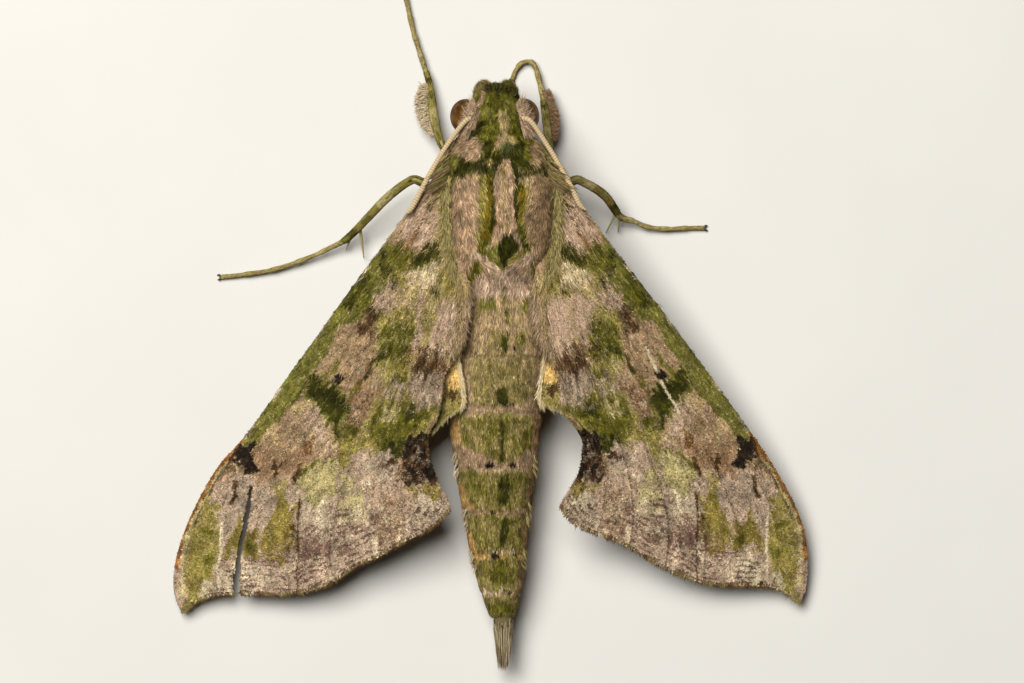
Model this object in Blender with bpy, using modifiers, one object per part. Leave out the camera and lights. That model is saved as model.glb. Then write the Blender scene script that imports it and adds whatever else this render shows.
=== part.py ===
"""A hawk moth at rest on a level floor, wings spread and sloping down from its back.

Life size, in metres, +Z up. The head points to +Y and the right wing to +X.
Plan positions are read on a measuring grid seen from a point above the animal:
12 steps to a millimetre, columns to the right, rows towards the tail.
"""
import math
import random

import bmesh
import bpy
from mathutils import Vector

MM = 0.001
STEPS_PER_MM = 12
STEP = MM / STEPS_PER_MM
GRID_COLUMN = 491.6
GRID_ROW = 325.3
VIEW_COLUMN = 512.0
VIEW_ROW = 341.5
VIEW_LEVEL = 5.0
VIEW_HEIGHT = 426.7
MIDLINE = 503.0
GAP = 0.3 * MM
MERGE = 0.000001

# Body: rings across the length, as (row, centre column, half width in steps,
# middle height in mm, half height in mm), from the front to the rear.
HEAD_RINGS = (
    (84.5, 495.5, 14.0, 6.5, 1.2),
    (88.0, 495.5, 19.5, 6.45, 1.65),
    (94.0, 496.0, 23.5, 6.4, 2.05),
    (103.0, 496.5, 27.0, 6.4, 2.4),
    (113.0, 497.0, 30.5, 6.4, 2.65),
    (124.0, 496.5, 34.5, 6.4, 2.8),
    (134.4, 495.5, 38.5, 6.4, 2.75),
)
THORAX_RINGS = (
    (138.0, 495.5, 40.5, 6.45, 2.85),
    (148.0, 496.0, 50.0, 6.5, 3.4),
    (162.0, 497.5, 57.0, 6.65, 3.95),
    (178.0, 499.5, 60.5, 6.75, 4.3),
    (198.0, 501.0, 60.5, 6.8, 4.45),
    (220.0, 501.5, 59.5, 6.75, 4.5),
    (245.0, 501.5, 58.0, 6.5, 4.35),
    (268.0, 501.0, 52.0, 6.1, 3.95),
    (290.0, 501.0, 43.5, 5.6, 3.35),
)
ABDOMEN_RINGS = (
    (293.6, 500.5, 43.0, 5.5, 3.3),
    (325.0, 500.0, 45.0, 5.2, 3.3),
    (370.0, 498.0, 48.0, 4.85, 3.25),
    (413.0, 495.5, 48.5, 4.55, 3.15),
    (467.0, 495.5, 42.5, 4.15, 2.85),
    (515.0, 497.0, 35.0, 3.75, 2.5),
    (554.0, 498.5, 29.5, 3.45, 2.1),
    (592.0, 501.0, 21.5, 3.15, 1.55),
    (621.0, 502.5, 12.5, 2.95, 0.95),
)
BODY_SQUARENESS = 2.4
SEGMENT_ENDS = (355.0, 410.0, 465.0, 511.0, 552.0, 590.0, 621.0)
SEGMENT_LIP = 0.09
SEGMENT_LIP_REACH = 3.0
SEGMENT_RING_SHARES = (0.35, 0.7)
TEGULA_ROWS = (158.0, 276.0)
TEGULA_ANGLES = (28.0, 74.0)
TEGULA_RISE = 0.28
TEGULA_FULLNESS = 0.7
SEARCH_STEPS = 40

# Head pieces.
EYES = {"eye_left": (465.5, 116.5, 6.1), "eye_right": (524.0, 116.0, 6.1)}
EYE_RADII = (1.3, 1.48, 1.6)
PALP_LENGTH = 13.5
PALP_COLUMNS = {"palp_left": 484.0, "palp_right": 507.5}
PALP_HALF_WIDTH = 10.2
PALP_HEIGHT = 4.7
PALP_HALF_HEIGHT = 1.75
PALP_ROW = 95.0
PALP_LIFT = 0.35
ANTENNA_RADII = (0.34, 0.27, 0.25, 0.26, 0.27, 0.25, 0.16)
ANTENNAE = {
    "antenna_left": (
        (477, 123, 7.7), (467, 120, 8.65), (448, 144, 8.6), (431, 172, 8.7),
        (419, 195, 8.85), (411, 209, 8.8), (405, 214, 8.75),
    ),
    "antenna_right": (
        (517, 123, 7.7), (529, 120, 8.65), (549, 148, 8.6), (566, 177, 8.7),
        (575, 195, 8.85), (580, 205, 8.8), (586, 210, 8.75),
    ),
}

# Wings: a height over the floor for each place, and outlines on the grid.
WING_TOP = 9.0
WING_SIDE_SLOPE = 0.2
WING_REAR_SLOPE = 0.21
WING_LEVEL_ROW = 390.0
WING_REAR_BLEND = 30.0
WING_FLOOR = 1.0
WING_FLOOR_BLEND = 0.9
WING_INNER_SIDE = 3.0
ROOT_SWELLING = 0.6
ROOT_SWELLING_PLACE = (6.2, 318.0)
ROOT_SWELLING_SIZE = 2.6
COSTA_DROOP = 0.35
COSTA_DROOP_REACH = 0.05
FOREWING_THICKNESS = 0.74
HINDWING_THICKNESS = 0.72
MEMBRANE_SHARE = 0.7
HINDWING_BELOW = 0.92
HOLLOW_FADE = 4
SLOT_DEPTH = 1.0
SLOT_HEIGHT = 12.0

LEFT_COSTA = (
    (448, 174), (431, 185), (411, 208), (385, 243), (345, 297), (300, 360),
    (245, 436), (220, 464), (199, 499), (183, 535), (175, 565), (174, 592), (184, 618),
)
LEFT_OUTER = (
    (184, 618), (198, 606), (217, 599), (255, 598), (295, 597), (330, 587),
    (356, 569), (378, 559), (405, 543), (433, 529), (451, 511),
)
LEFT_INNER = (
    (469, 288), (467, 312), (462, 338), (450, 364), (443, 380), (441, 400),
    (437, 418), (429, 432), (428, 446), (431, 464), (438, 482), (447, 499), (451, 511),
)
RIGHT_COSTA = (
    (552, 174), (567, 185), (584, 208), (608, 241), (660, 308), (700, 362), (745, 424),
    (772, 464), (791, 497), (803, 527), (808, 556), (806, 587), (799, 608),
)
RIGHT_OUTER = (
    (799, 608), (786, 598), (771, 591), (740, 589), (708, 587), (676, 577),
    (650, 563), (622, 546), (592, 534), (571, 523), (559, 507),
)
RIGHT_INNER = (
    (533, 288), (535, 312), (540, 338), (551, 362), (559, 378), (560, 396),
    (565, 413), (577, 424), (583, 436), (582, 458), (578, 475), (570, 489), (559, 507),
)
LEFT_HIND_COSTA = ((450, 282), (424, 330), (372, 402), (314, 470), (286, 503))
LEFT_HIND_OUTER = ((286, 503), (318, 508), (360, 488), (402, 458), (428, 438), (447, 420), (463, 408))
LEFT_HIND_INNER = ((452, 318), (456, 344), (461, 372), (465, 396), (463, 408))
RIGHT_HIND_COSTA = ((553, 282), (580, 330), (632, 400), (688, 466), (714, 497))
RIGHT_HIND_OUTER = ((714, 497), (684, 503), (644, 482), (606, 452), (581, 431), (562, 414), (540, 405))
RIGHT_HIND_INNER = ((551, 318), (547, 344), (542, 370), (538, 394), (540, 405))

# Veins: place across the wing, and where along it each begins and ends.
CELL_END = 0.47
VEIN_HALF_WIDTH = 0.0105
MARGIN_VEIN_WIDTH = 0.018
WIDEST_PANEL = 0.1
SAME_PLACE = 0.001
FOREWING_VEINS = (
    (0.05, 0.0, 0.66),
    (0.125, 0.0, 1.0),
    (0.264, CELL_END, 1.0),
    (0.39, CELL_END, 1.0),
    (0.535, 0.0, 1.0),
    (0.69, 0.36, 1.0),
    (0.82, 0.26, 1.0),
    (0.945, 0.0, 1.0),
)
CELL_EDGES = (0.125, 0.535)
HINDWING_VEINS = ((0.1, 0.0, 1.0), (0.28, 0.4, 1.0), (0.46, 0.4, 1.0), (0.66, 0.0, 1.0), (0.86, 0.0, 1.0))
FOREWING_ROWS = 24
HINDWING_ROWS = 11

# A tear runs up into the left wing from its outer margin, and a nick into the right.
LEFT_TEAR = ((252, 481, 0.6), (248, 510, 2.2), (242, 541, 2.2), (237, 571, 2.4), (235, 604, 2.8))
RIGHT_NICK = ((762, 579, 0.8), (762, 596, 2.2))

# Legs: paths as (column, row, height in mm, radius in mm) from the body to the claw.
LEGS = {
    "foreleg_left": (
        (488, 182, 4.4, 0.55), (470, 172, 2.7, 0.6), (451, 153, 2.5, 0.55), (443, 140, 2.5, 0.56),
        (435, 112, 1.8, 0.62), (428, 84, 1.15, 0.42), (424, 66, 0.85, 0.3), (419, 50, 0.7, 0.3),
        (413, 30, 0.6, 0.28), (407, 3, 0.5, 0.27), (403, -14, 0.42, 0.26), (402, -22, 0.26, 0.25),
    ),
    "foreleg_right": (
        (516, 182, 4.4, 0.55), (534, 172, 2.7, 0.6), (549, 153, 2.5, 0.55), (550, 138, 2.5, 0.56),
        (547.5, 114, 1.8, 0.6), (543, 94, 1.15, 0.42), (540, 80, 0.85, 0.3), (537, 69, 0.7, 0.3),
        (531, 62, 0.62, 0.28), (522, 63, 0.55, 0.27), (516, 70, 0.45, 0.26), (512.5, 79, 0.26, 0.25),
    ),
    "midleg_left": (
        (486, 222, 4.2, 0.5), (468, 212, 3.2, 0.55), (442, 196, 4.2, 0.52), (421, 182, 5.0, 0.48),
        (410, 181, 4.9, 0.45), (386, 199, 3.7, 0.46), (350, 236, 1.7, 0.4), (330, 248, 1.1, 0.28),
        (303, 260, 0.75, 0.28), (272, 270, 0.55, 0.27), (240, 275, 0.42, 0.26), (221, 277, 0.26, 0.25),
    ),
    "midleg_right": (
        (518, 222, 4.2, 0.5), (536, 212, 3.2, 0.55), (560, 192, 4.4, 0.52), (573, 181, 5.2, 0.48),
        (583, 182, 5.1, 0.45), (604, 195, 3.6, 0.48), (620, 216, 1.7, 0.42), (633, 221, 1.1, 0.3),
        (648, 227, 0.75, 0.28), (668, 229, 0.55, 0.27), (688, 228, 0.42, 0.26), (704, 228, 0.26, 0.25),
    ),
    "hindleg_left": (
        (488, 258, 4.2, 0.5), (470, 268, 3.0, 0.55), (448, 286, 3.8, 0.52), (430, 303, 4.4, 0.46),
        (423, 318, 4.2, 0.44), (414, 352, 3.0, 0.45), (404, 394, 1.5, 0.38), (401, 412, 1.0, 0.28),
        (398, 436, 0.7, 0.28), (395, 466, 0.52, 0.27), (392, 496, 0.4, 0.26), (391, 516, 0.26, 0.25),
    ),
    "hindleg_right": (
        (516, 258, 4.2, 0.5), (534, 268, 3.0, 0.55), (556, 286, 3.8, 0.52), (574, 302, 4.4, 0.46),
        (582, 317, 4.2, 0.44), (594, 350, 3.0, 0.45), (606, 390, 1.5, 0.38), (610, 408, 1.0, 0.28),
        (614, 432, 0.7, 0.28), (618, 462, 0.52, 0.27), (622, 490, 0.4, 0.26), (624, 510, 0.26, 0.25),
    ),
}
SPURS = {
    "foreleg_left": (),
    "foreleg_right": (),
    "midleg_left": (((352, 234, 1.7), (346, 250, 0.75)), ((360, 228, 1.9), (364, 258, 0.7))),
    "midleg_right": (((617, 211, 2.0), (606, 233, 0.8)), ((620, 214, 1.7), (618, 232, 0.7))),
    "hindleg_left": (((405, 391, 1.5), (392, 414, 0.6)), ((404, 391, 1.5), (414, 414, 0.6))),
    "hindleg_right": (((605, 387, 1.5), (619, 410, 0.6)), ((606, 387, 1.5), (597, 410, 0.6))),
}
SPUR_RADIUS = 0.17
SPUR_TAPER = 0.55

# Fringes of long scales, as overlapping locks (from, to, first and last height in mm,
# how far each reaches outwards and rearwards in steps), and how many.
LEG_FRINGES = {
    "foreleg_left": ((440, 126), (429, 92), (2.2, 1.5), (-15, 11), 6),
    "foreleg_right": ((549, 128), (545, 100), (2.2, 1.5), (11, 11), 5),
}
LEG_LOCK_RADIUS = 0.3
LEG_LOCK_LONGEST = 0.4
LEG_LOCK_SHORTER = 0.7
LEG_LOCK_BEND = (0.6, 0.25)
LEG_LOCK_DROPS = (0.1, 0.35)
LOCK_TIP_RADIUS = 0.09
FLANK_LOCKS = (
    (-1, 452.0, 478.0), (-1, 504.0, 532.0), (-1, 546.0, 571.0),
    (1, 454.0, 474.0), (1, 502.0, 527.0), (1, 548.0, 568.0),
)
FLANK_LOCK_RADIUS = 0.33
FLANK_LOCK_STANDS = (-0.1, 0.02, 0.16)
FLANK_LOCK_INSET = 2.5
FLANK_LOCK_RISE = 0.25

# Tail: a pencil of long scales in overlapping locks.
TAIL_ROOT_ROW = 624.6
TAIL_ROOT_RADIUS = 0.88
TAIL_HEIGHT = 2.9
TAIL_SHIFT = 0.3
TAIL_CORE = ((0.0, 1.0), (10.0, 0.8), (24.0, 0.35))
TAIL_LOCK_COUNT = 11
TAIL_LOCK_SPREAD = 0.56
TAIL_LOCK_RADIUS = 0.3
TAIL_LOCK_START = 3.0
TAIL_LOCK_NARROWING = ((1.0, 1.0), (0.92, 0.9), (0.33, 0.35))
TAIL_TIP_DROOP = 0.1
TAIL_TIP_ROWS = (652.0, 673.0)
TAIL_SEED = 4

COLOURS = {
    "head": (0.30, 0.27, 0.15),
    "thorax": (0.38, 0.29, 0.20),
    "abdomen": (0.36, 0.28, 0.14),
    "tail": (0.42, 0.38, 0.28),
    "eye": (0.10, 0.05, 0.02),
    "palp": (0.42, 0.34, 0.22),
    "antenna": (0.72, 0.64, 0.42),
    "forewing": (0.36, 0.32, 0.16),
    "hindwing": (0.30, 0.24, 0.10),
    "leg": (0.30, 0.28, 0.15),
}
EYE_ROUGHNESS = 0.25
SCALE_ROUGHNESS = 0.85

RING_SIDES = 26
HEAD_RING_COUNT = 11
THORAX_RING_COUNT = 17
ABDOMEN_CLEARANCE = 0.05 * MM
LEG_SMOOTH_STEPS = 2
ANTENNA_SMOOTH_STEPS = 3
SHARP_ANGLE = math.radians(42)


def new_collection(name):
    """A collection linked to the scene."""
    collection = bpy.data.collections.new(name)
    bpy.context.scene.collection.children.link(collection)
    return collection


def new_material(name, colour, roughness):
    """A plain surface of one colour."""
    material = bpy.data.materials.new(name)
    material.use_nodes = True
    surface = material.node_tree.nodes["Principled BSDF"]
    surface.inputs["Base Color"].default_value = (*colour, 1.0)
    surface.inputs["Roughness"].default_value = roughness
    surface.inputs["Metallic"].default_value = 0.0
    return material


def grid_point(column, row, height):
    """The point at a height in mm that is seen over a grid column and row."""
    spread = 1 + (VIEW_LEVEL - height) / VIEW_HEIGHT
    column = VIEW_COLUMN + (column - VIEW_COLUMN) * spread
    row = VIEW_ROW + (row - VIEW_ROW) * spread
    return Vector(((column - GRID_COLUMN) * STEP, (GRID_ROW - row) * STEP, height * MM))


def bump(low, high, value):
    """A smooth hump that is 0 at low and high and 1 half way."""
    share = min(1.0, max(0.0, (value - low) / (high - low)))
    return math.sin(math.pi * share) ** TEGULA_FULLNESS


def curve_through(points, share):
    """A smooth curve through tuples of numbers, at a share of its point count."""
    last = len(points) - 1
    place = min(max(share, 0.0), 1.0) * last
    index = min(int(place), last - 1)
    t = place - index
    before = points[max(index - 1, 0)]
    start = points[index]
    end = points[index + 1]
    after = points[min(index + 2, last)]
    result = []
    for a, b, c, d in zip(before, start, end, after):
        value = 2 * b + (c - a) * t + (2 * a - 5 * b + 4 * c - d) * t * t + (3 * b - a - 3 * c + d) * t ** 3
        result.append(value / 2)
    return tuple(result)


class EvenLine:
    """A smooth line through points, walked by share of its length."""

    def __init__(self, points, samples=160):
        self.samples = [Vector(curve_through(points, i / samples)) for i in range(samples + 1)]
        self.lengths = [0.0]
        for a, b in zip(self.samples, self.samples[1:]):
            self.lengths.append(self.lengths[-1] + (b - a).length)

    def at(self, share):
        wanted = share * self.lengths[-1]
        for i in range(1, len(self.lengths)):
            if self.lengths[i] >= wanted:
                span = self.lengths[i] - self.lengths[i - 1]
                part = (wanted - self.lengths[i - 1]) / span if span > 0 else 0.0
                return self.samples[i - 1].lerp(self.samples[i], part)
        return self.samples[-1].copy()


def object_from_bmesh(name, mesh_data, collection, material=None):
    """Turn a bmesh into a linked object, faces out."""
    bmesh.ops.recalc_face_normals(mesh_data, faces=mesh_data.faces)
    mesh = bpy.data.meshes.new(name)
    mesh_data.to_mesh(mesh)
    mesh_data.free()
    thing = bpy.data.objects.new(name, mesh)
    collection.objects.link(thing)
    if material is not None:
        mesh.materials.append(material)
    return thing


def hide_cutter(thing):
    """Show a cutter as wires only and leave it out of renders."""
    thing.hide_render = True
    thing.display_type = "WIRE"
    return thing


def keep_largest(mesh_data):
    """Delete all but the largest connected surface."""
    unseen = set(mesh_data.faces)
    islands = []
    while unseen:
        start = unseen.pop()
        island = {start}
        stack = [start]
        while stack:
            face = stack.pop()
            for edge in face.edges:
                for other in edge.link_faces:
                    if other in unseen:
                        unseen.discard(other)
                        island.add(other)
                        stack.append(other)
        islands.append(island)
    largest = max(islands, key=lambda island: sum(face.calc_area() for face in island))
    spare = [face for island in islands if island is not largest for face in island]
    if spare:
        bmesh.ops.delete(mesh_data, geom=spare, context="FACES")
    loose = [vert for vert in mesh_data.verts if not vert.link_faces]
    bmesh.ops.delete(mesh_data, geom=loose, context="VERTS")


def bake(thing):
    """Apply an object's modifiers, weld its points and keep its largest surface."""
    graph = bpy.context.evaluated_depsgraph_get()
    graph.update()
    made = bpy.data.meshes.new_from_object(thing.evaluated_get(graph))
    thing.modifiers.clear()
    mesh_data = bmesh.new()
    mesh_data.from_mesh(made)
    bmesh.ops.remove_doubles(mesh_data, verts=mesh_data.verts, dist=MERGE)
    keep_largest(mesh_data)
    mesh_data.to_mesh(made)
    mesh_data.free()
    thing.data = made
    return thing


def cut(thing, cutters):
    """Take cutters out of an object with exact differences."""
    for cutter in cutters:
        modifier = thing.modifiers.new("cut", "BOOLEAN")
        modifier.operation = "DIFFERENCE"
        modifier.solver = "EXACT"
        modifier.object = cutter
    return bake(thing)


def fuse(thing, pieces):
    """Join a collection of closed pieces to an object by one union, then remove them."""
    group = bpy.data.collections.new(thing.name + "_pieces")
    bpy.context.scene.collection.children.link(group)
    for piece in pieces:
        for owner in list(piece.users_collection):
            owner.objects.unlink(piece)
        group.objects.link(piece)
    modifier = thing.modifiers.new("fuse", "BOOLEAN")
    modifier.operation = "UNION"
    modifier.solver = "EXACT"
    modifier.operand_type = "COLLECTION"
    modifier.collection = group
    bake(thing)
    for piece in list(group.objects):
        bpy.data.objects.remove(piece, do_unlink=True)
    bpy.data.collections.remove(group)
    return thing


def body_ring(ring, grow, relief):
    """The points of one cross-section of the body."""
    row, centre, half_width, middle, half_height = ring
    points = []
    for i in range(RING_SIDES):
        angle = 2 * math.pi * (i + 0.5) / RING_SIDES
        across = math.cos(angle)
        up = math.sin(angle)
        power = 2 / BODY_SQUARENESS
        across = math.copysign(abs(across) ** power, across)
        up = math.copysign(abs(up) ** power, up)
        rise = relief(row, math.degrees(angle)) if relief else 0.0
        wide = half_width + (grow / MM + rise) * STEPS_PER_MM
        tall = half_height + grow / MM + rise
        points.append(grid_point(centre + across * wide, row, middle + up * tall))
    return points


def loft(name, rings, collection, material=None, grow=0.0, relief=None):
    """A closed body through cross-sections, optionally grown on all sides."""
    rings = list(rings)
    if grow:
        extra = grow / STEP
        first = (rings[0][0] - extra, *rings[0][1:])
        last = (rings[-1][0] + extra, *rings[-1][1:])
        rings = [first, *rings, last]
    mesh_data = bmesh.new()
    loops = []
    for ring in rings:
        loops.append([mesh_data.verts.new(point) for point in body_ring(ring, grow, relief)])
    for front, rear in zip(loops, loops[1:]):
        for i in range(RING_SIDES):
            j = (i + 1) % RING_SIDES
            mesh_data.faces.new((front[i], front[j], rear[j], rear[i]))
    mesh_data.faces.new(loops[0])
    mesh_data.faces.new(reversed(loops[-1]))
    return object_from_bmesh(name, mesh_data, collection, material)


def rings_at_rows(rings, rows):
    """Cross-sections at given rows, on a smooth line through the stated ones."""
    result = []
    for row in rows:
        low, high = 0.0, 1.0
        for _ in range(SEARCH_STEPS):
            middle = (low + high) / 2
            if curve_through(rings, middle)[0] < row:
                low = middle
            else:
                high = middle
        result.append((row, *curve_through(rings, low)[1:]))
    return result


def thorax_relief(row, angle):
    """The flaps over the wing roots, as a rise in mm."""
    from_top = abs(angle - 90)
    if from_top > 90:
        return 0.0
    return TEGULA_RISE * bump(*TEGULA_ROWS, row) * bump(*TEGULA_ANGLES, from_top)


def abdomen_relief(row, angle):
    """A low lip at the rear edge of each abdominal segment."""
    for end in SEGMENT_ENDS[:-1]:
        if abs(row - end) < SEGMENT_LIP_REACH:
            return SEGMENT_LIP if row < end else -SEGMENT_LIP / 2
    return 0.0


def abdomen_rows():
    """Rows for the abdomen's rings: front, middle and lip of each segment."""
    start = ABDOMEN_RINGS[0][0]
    rows = [start]
    for end in SEGMENT_ENDS:
        length = end - start
        rows += [start + length * share for share in SEGMENT_RING_SHARES]
        if end != SEGMENT_ENDS[-1]:
            rows += [end - SEGMENT_LIP_REACH / 2, end + SEGMENT_LIP_REACH / 2]
        start = end
    rows.append(SEGMENT_ENDS[-1])
    return rows


def even_rows(rings, count):
    """Evenly spaced rows between the first and last cross-section."""
    first, last = rings[0][0], rings[-1][0]
    return [first + (last - first) * i / (count - 1) for i in range(count)]


def make_eye(name, place, collection, material, grow=0.0, segments=20):
    """A domed compound eye, flatter from side to side."""
    mesh_data = bmesh.new()
    bmesh.ops.create_uvsphere(mesh_data, u_segments=segments, v_segments=segments // 2, radius=1.0)
    radii = Vector(radius * MM + grow for radius in EYE_RADII)
    bmesh.ops.scale(mesh_data, verts=mesh_data.verts, vec=radii)
    bmesh.ops.translate(mesh_data, verts=mesh_data.verts, vec=grid_point(*place))
    return object_from_bmesh(name, mesh_data, collection, material)


def make_palp(name, column, collection, material):
    """A blunt, upturned mouth palp in front of the head."""
    mesh_data = bmesh.new()
    bmesh.ops.create_uvsphere(mesh_data, u_segments=14, v_segments=10, radius=1.0)
    for vert in mesh_data.verts:
        lift = PALP_LIFT * vert.co.y
        place = grid_point(
            column + vert.co.x * PALP_HALF_WIDTH,
            PALP_ROW - vert.co.y * PALP_LENGTH,
            PALP_HEIGHT + lift + vert.co.z * PALP_HALF_HEIGHT,
        )
        vert.co = place
    return object_from_bmesh(name, mesh_data, collection, material)


def make_tube(name, path, collection, material=None, smooth=LEG_SMOOTH_STEPS, sides=2):
    """A tapering tube along (column, row, height mm, radius mm), as a closed mesh."""
    count = (len(path) - 1) * smooth
    walked = [curve_through(path, i / count) for i in range(count + 1)]
    data = bpy.data.curves.new(name, "CURVE")
    data.dimensions = "3D"
    data.twist_mode = "MINIMUM"
    data.bevel_depth = MM
    data.bevel_resolution = sides
    data.use_fill_caps = True
    spline = data.splines.new("POLY")
    spline.points.add(len(walked) - 1)
    for point, (column, row, height, radius) in zip(spline.points, walked):
        point.co = (*grid_point(column, row, height), 1.0)
        point.radius = radius
    guide = bpy.data.objects.new(name + "_curve", data)
    collection.objects.link(guide)
    graph = bpy.context.evaluated_depsgraph_get()
    graph.update()
    mesh = bpy.data.meshes.new_from_object(guide.evaluated_get(graph))
    bpy.data.objects.remove(guide, do_unlink=True)
    mesh_data = bmesh.new()
    mesh_data.from_mesh(mesh)
    bmesh.ops.remove_doubles(mesh_data, verts=mesh_data.verts, dist=MERGE)
    for vert in mesh_data.verts:
        vert.co.z = max(vert.co.z, 0.0)
    return object_from_bmesh(name, mesh_data, collection, material)


def wing_height(column, row):
    """Height in mm of a wing's middle surface over the floor."""
    side = abs(column - MIDLINE) / STEPS_PER_MM
    level = WING_TOP - WING_SIDE_SLOPE * (side - WING_INNER_SIDE)
    behind = (row - WING_LEVEL_ROW) / WING_REAR_BLEND
    level -= WING_REAR_SLOPE * WING_REAR_BLEND * math.log1p(math.exp(behind)) / STEPS_PER_MM
    soft = (level - WING_FLOOR) / WING_FLOOR_BLEND
    return WING_FLOOR + WING_FLOOR_BLEND * math.log1p(math.exp(soft))


def root_swelling(column, row):
    """The swelling over a forewing's folded root, in mm."""
    side = abs(column - MIDLINE) / STEPS_PER_MM - ROOT_SWELLING_PLACE[0]
    along = (row - ROOT_SWELLING_PLACE[1]) / STEPS_PER_MM
    return ROOT_SWELLING * math.exp(-(side * side + along * along) / ROOT_SWELLING_SIZE ** 2)


def patch_point(lines, along, across):
    """A place on the grid inside four margin lines that meet at their corners.

    The inner margin's hollows fade out towards the middle of the wing.
    """
    costa, inner, root, outer = lines
    straight = inner.at(0).lerp(inner.at(1), along)
    hollow = inner.at(along) - straight
    point = costa.at(along) * (1 - across) + straight * across + hollow * across ** HOLLOW_FADE
    point += root.at(across) * (1 - along) + outer.at(across) * along
    point -= costa.at(0) * (1 - along) * (1 - across) + costa.at(1) * along * (1 - across)
    point -= inner.at(0) * (1 - along) * across + inner.at(1) * along * across
    return point


def vein_columns(veins):
    """Places across a wing for its grid lines, and which of them are vein crests."""
    places = [0.0, MARGIN_VEIN_WIDTH]
    for place, _, _ in veins:
        for offset in (-VEIN_HALF_WIDTH, 0.0, VEIN_HALF_WIDTH):
            places.append(place + offset)
    centres = [0.0] + [vein[0] for vein in veins] + [1.0]
    for low, high in zip(centres, centres[1:]):
        if high - low > WIDEST_PANEL:
            places.append((low + high) / 2)
    places.append(1.0)
    return sorted(places)


def vein_strength(veins, along, across, cell):
    """1 on a vein's crest and 0 on the membrane."""
    if across == 0.0:
        return 1.0
    if cell and abs(along - cell) < SAME_PLACE and CELL_EDGES[0] <= across <= CELL_EDGES[1]:
        return 1.0
    for place, start, end in veins:
        if abs(across - place) < SAME_PLACE and start <= along <= end:
            return 1.0
    return 0.0


def make_wing(name, outline, veins, rows, height, thickness, cell, collection, material):
    """A wing as an open sheet over its outline, thickened, with raised veins."""
    costa, outer, inner = (EvenLine(points) for points in outline)
    root = EvenLine((outline[0][0], outline[2][0]))
    lines = (costa, inner, root, outer)
    across_places = vein_columns(veins)
    along_places = [i / rows for i in range(rows + 1)]
    if cell:
        near = min(along_places, key=lambda place: abs(place - cell))
        along_places[along_places.index(near)] = cell
    mesh_data = bmesh.new()
    weights = mesh_data.verts.layers.deform.verify()
    sheet = []
    for along in along_places:
        line = []
        for across in across_places:
            place = patch_point(lines, along, across)
            vert = mesh_data.verts.new(grid_point(place.x, place.y, height(place.x, place.y, across)))
            vert[weights][0] = vein_strength(veins, along, across, cell)
            line.append(vert)
        sheet.append(line)
    for near_line, far_line in zip(sheet, sheet[1:]):
        for i in range(len(across_places) - 1):
            mesh_data.faces.new((near_line[i], near_line[i + 1], far_line[i + 1], far_line[i]))
    bmesh.ops.triangulate(mesh_data, faces=mesh_data.faces, quad_method="SHORT_EDGE")
    bmesh.ops.recalc_face_normals(mesh_data, faces=mesh_data.faces)
    mesh = bpy.data.meshes.new(name)
    mesh_data.to_mesh(mesh)
    mesh_data.free()
    mesh.materials.append(material)
    wing = bpy.data.objects.new(name, mesh)
    collection.objects.link(wing)
    wing.vertex_groups.new(name="veins")
    solid = wing.modifiers.new("thickness", "SOLIDIFY")
    solid.thickness = thickness * MM
    solid.offset = 0.0
    solid.vertex_group = "veins"
    solid.thickness_vertex_group = MEMBRANE_SHARE
    return wing


def forewing_height(column, row, across):
    """Forewing surface: the shared slope, its swollen root and a drooping front edge."""
    droop = COSTA_DROOP * math.exp(-across / COSTA_DROOP_REACH)
    return wing_height(column, row) + root_swelling(column, row) - droop


def hindwing_height(column, row, across):
    """Hindwing surface, just under the forewing."""
    return wing_height(column, row) - HINDWING_BELOW


def make_slot(name, path, collection):
    """An upright cutter along a line of (column, row, half width in steps)."""
    left, right = [], []
    for i, (column, row, half_width) in enumerate(path):
        before = path[max(i - 1, 0)]
        after = path[min(i + 1, len(path) - 1)]
        heading = Vector((after[0] - before[0], after[1] - before[1])).normalized()
        side = Vector((-heading.y, heading.x)) * half_width
        left.append(grid_point(column - side.x, row - side.y, -SLOT_DEPTH))
        right.append(grid_point(column + side.x, row + side.y, -SLOT_DEPTH))
    mesh_data = bmesh.new()
    base = mesh_data.faces.new([mesh_data.verts.new(point) for point in left + right[::-1]])
    grown = bmesh.ops.extrude_face_region(mesh_data, geom=[base])
    lifted = [item for item in grown["geom"] if isinstance(item, bmesh.types.BMVert)]
    bmesh.ops.translate(mesh_data, verts=lifted, vec=(0, 0, SLOT_HEIGHT * MM))
    return hide_cutter(object_from_bmesh(name, mesh_data, collection))


def make_spur(name, ends, collection):
    """A short movable spine at the end of a shin."""
    start, end = ends
    path = ((*start, SPUR_RADIUS), (*end, SPUR_RADIUS * SPUR_TAPER))
    return make_tube(name, path, collection, smooth=2, sides=1)


def make_leg_locks(name, collection):
    """The fringe of long scales on the outer side of a shin, as overlapping locks."""
    start, end, heights, reach, count = LEG_FRINGES[name]
    locks = []
    for i in range(count):
        share = i / (count - 1)
        column = start[0] + (end[0] - start[0]) * share
        row = start[1] + (end[1] - start[1]) * share
        height = heights[0] + (heights[1] - heights[0]) * share
        length = 1.0 - LEG_LOCK_SHORTER * abs(share - LEG_LOCK_LONGEST)
        bend = (column + reach[0] * LEG_LOCK_BEND[0] * length, row + reach[1] * LEG_LOCK_BEND[1])
        tip = (column + reach[0] * length, row + reach[1] * length)
        path = (
            (column, row, height, LEG_LOCK_RADIUS),
            (*bend, height - LEG_LOCK_DROPS[0], LEG_LOCK_RADIUS),
            (*tip, height - LEG_LOCK_DROPS[1], LOCK_TIP_RADIUS),
        )
        locks.append(make_tube("%s_lock_%d" % (name, i), path, collection, smooth=2, sides=1))
    return locks


def flank_point(rings, row, side, stand):
    """A point on the abdomen's flank, standing out from it by some mm."""
    ring = rings_at_rows(rings, [row])[0]
    column = ring[1] + side * (ring[2] - FLANK_LOCK_INSET + stand * STEPS_PER_MM)
    return column, row, ring[3] + ring[4] * FLANK_LOCK_RISE


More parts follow.
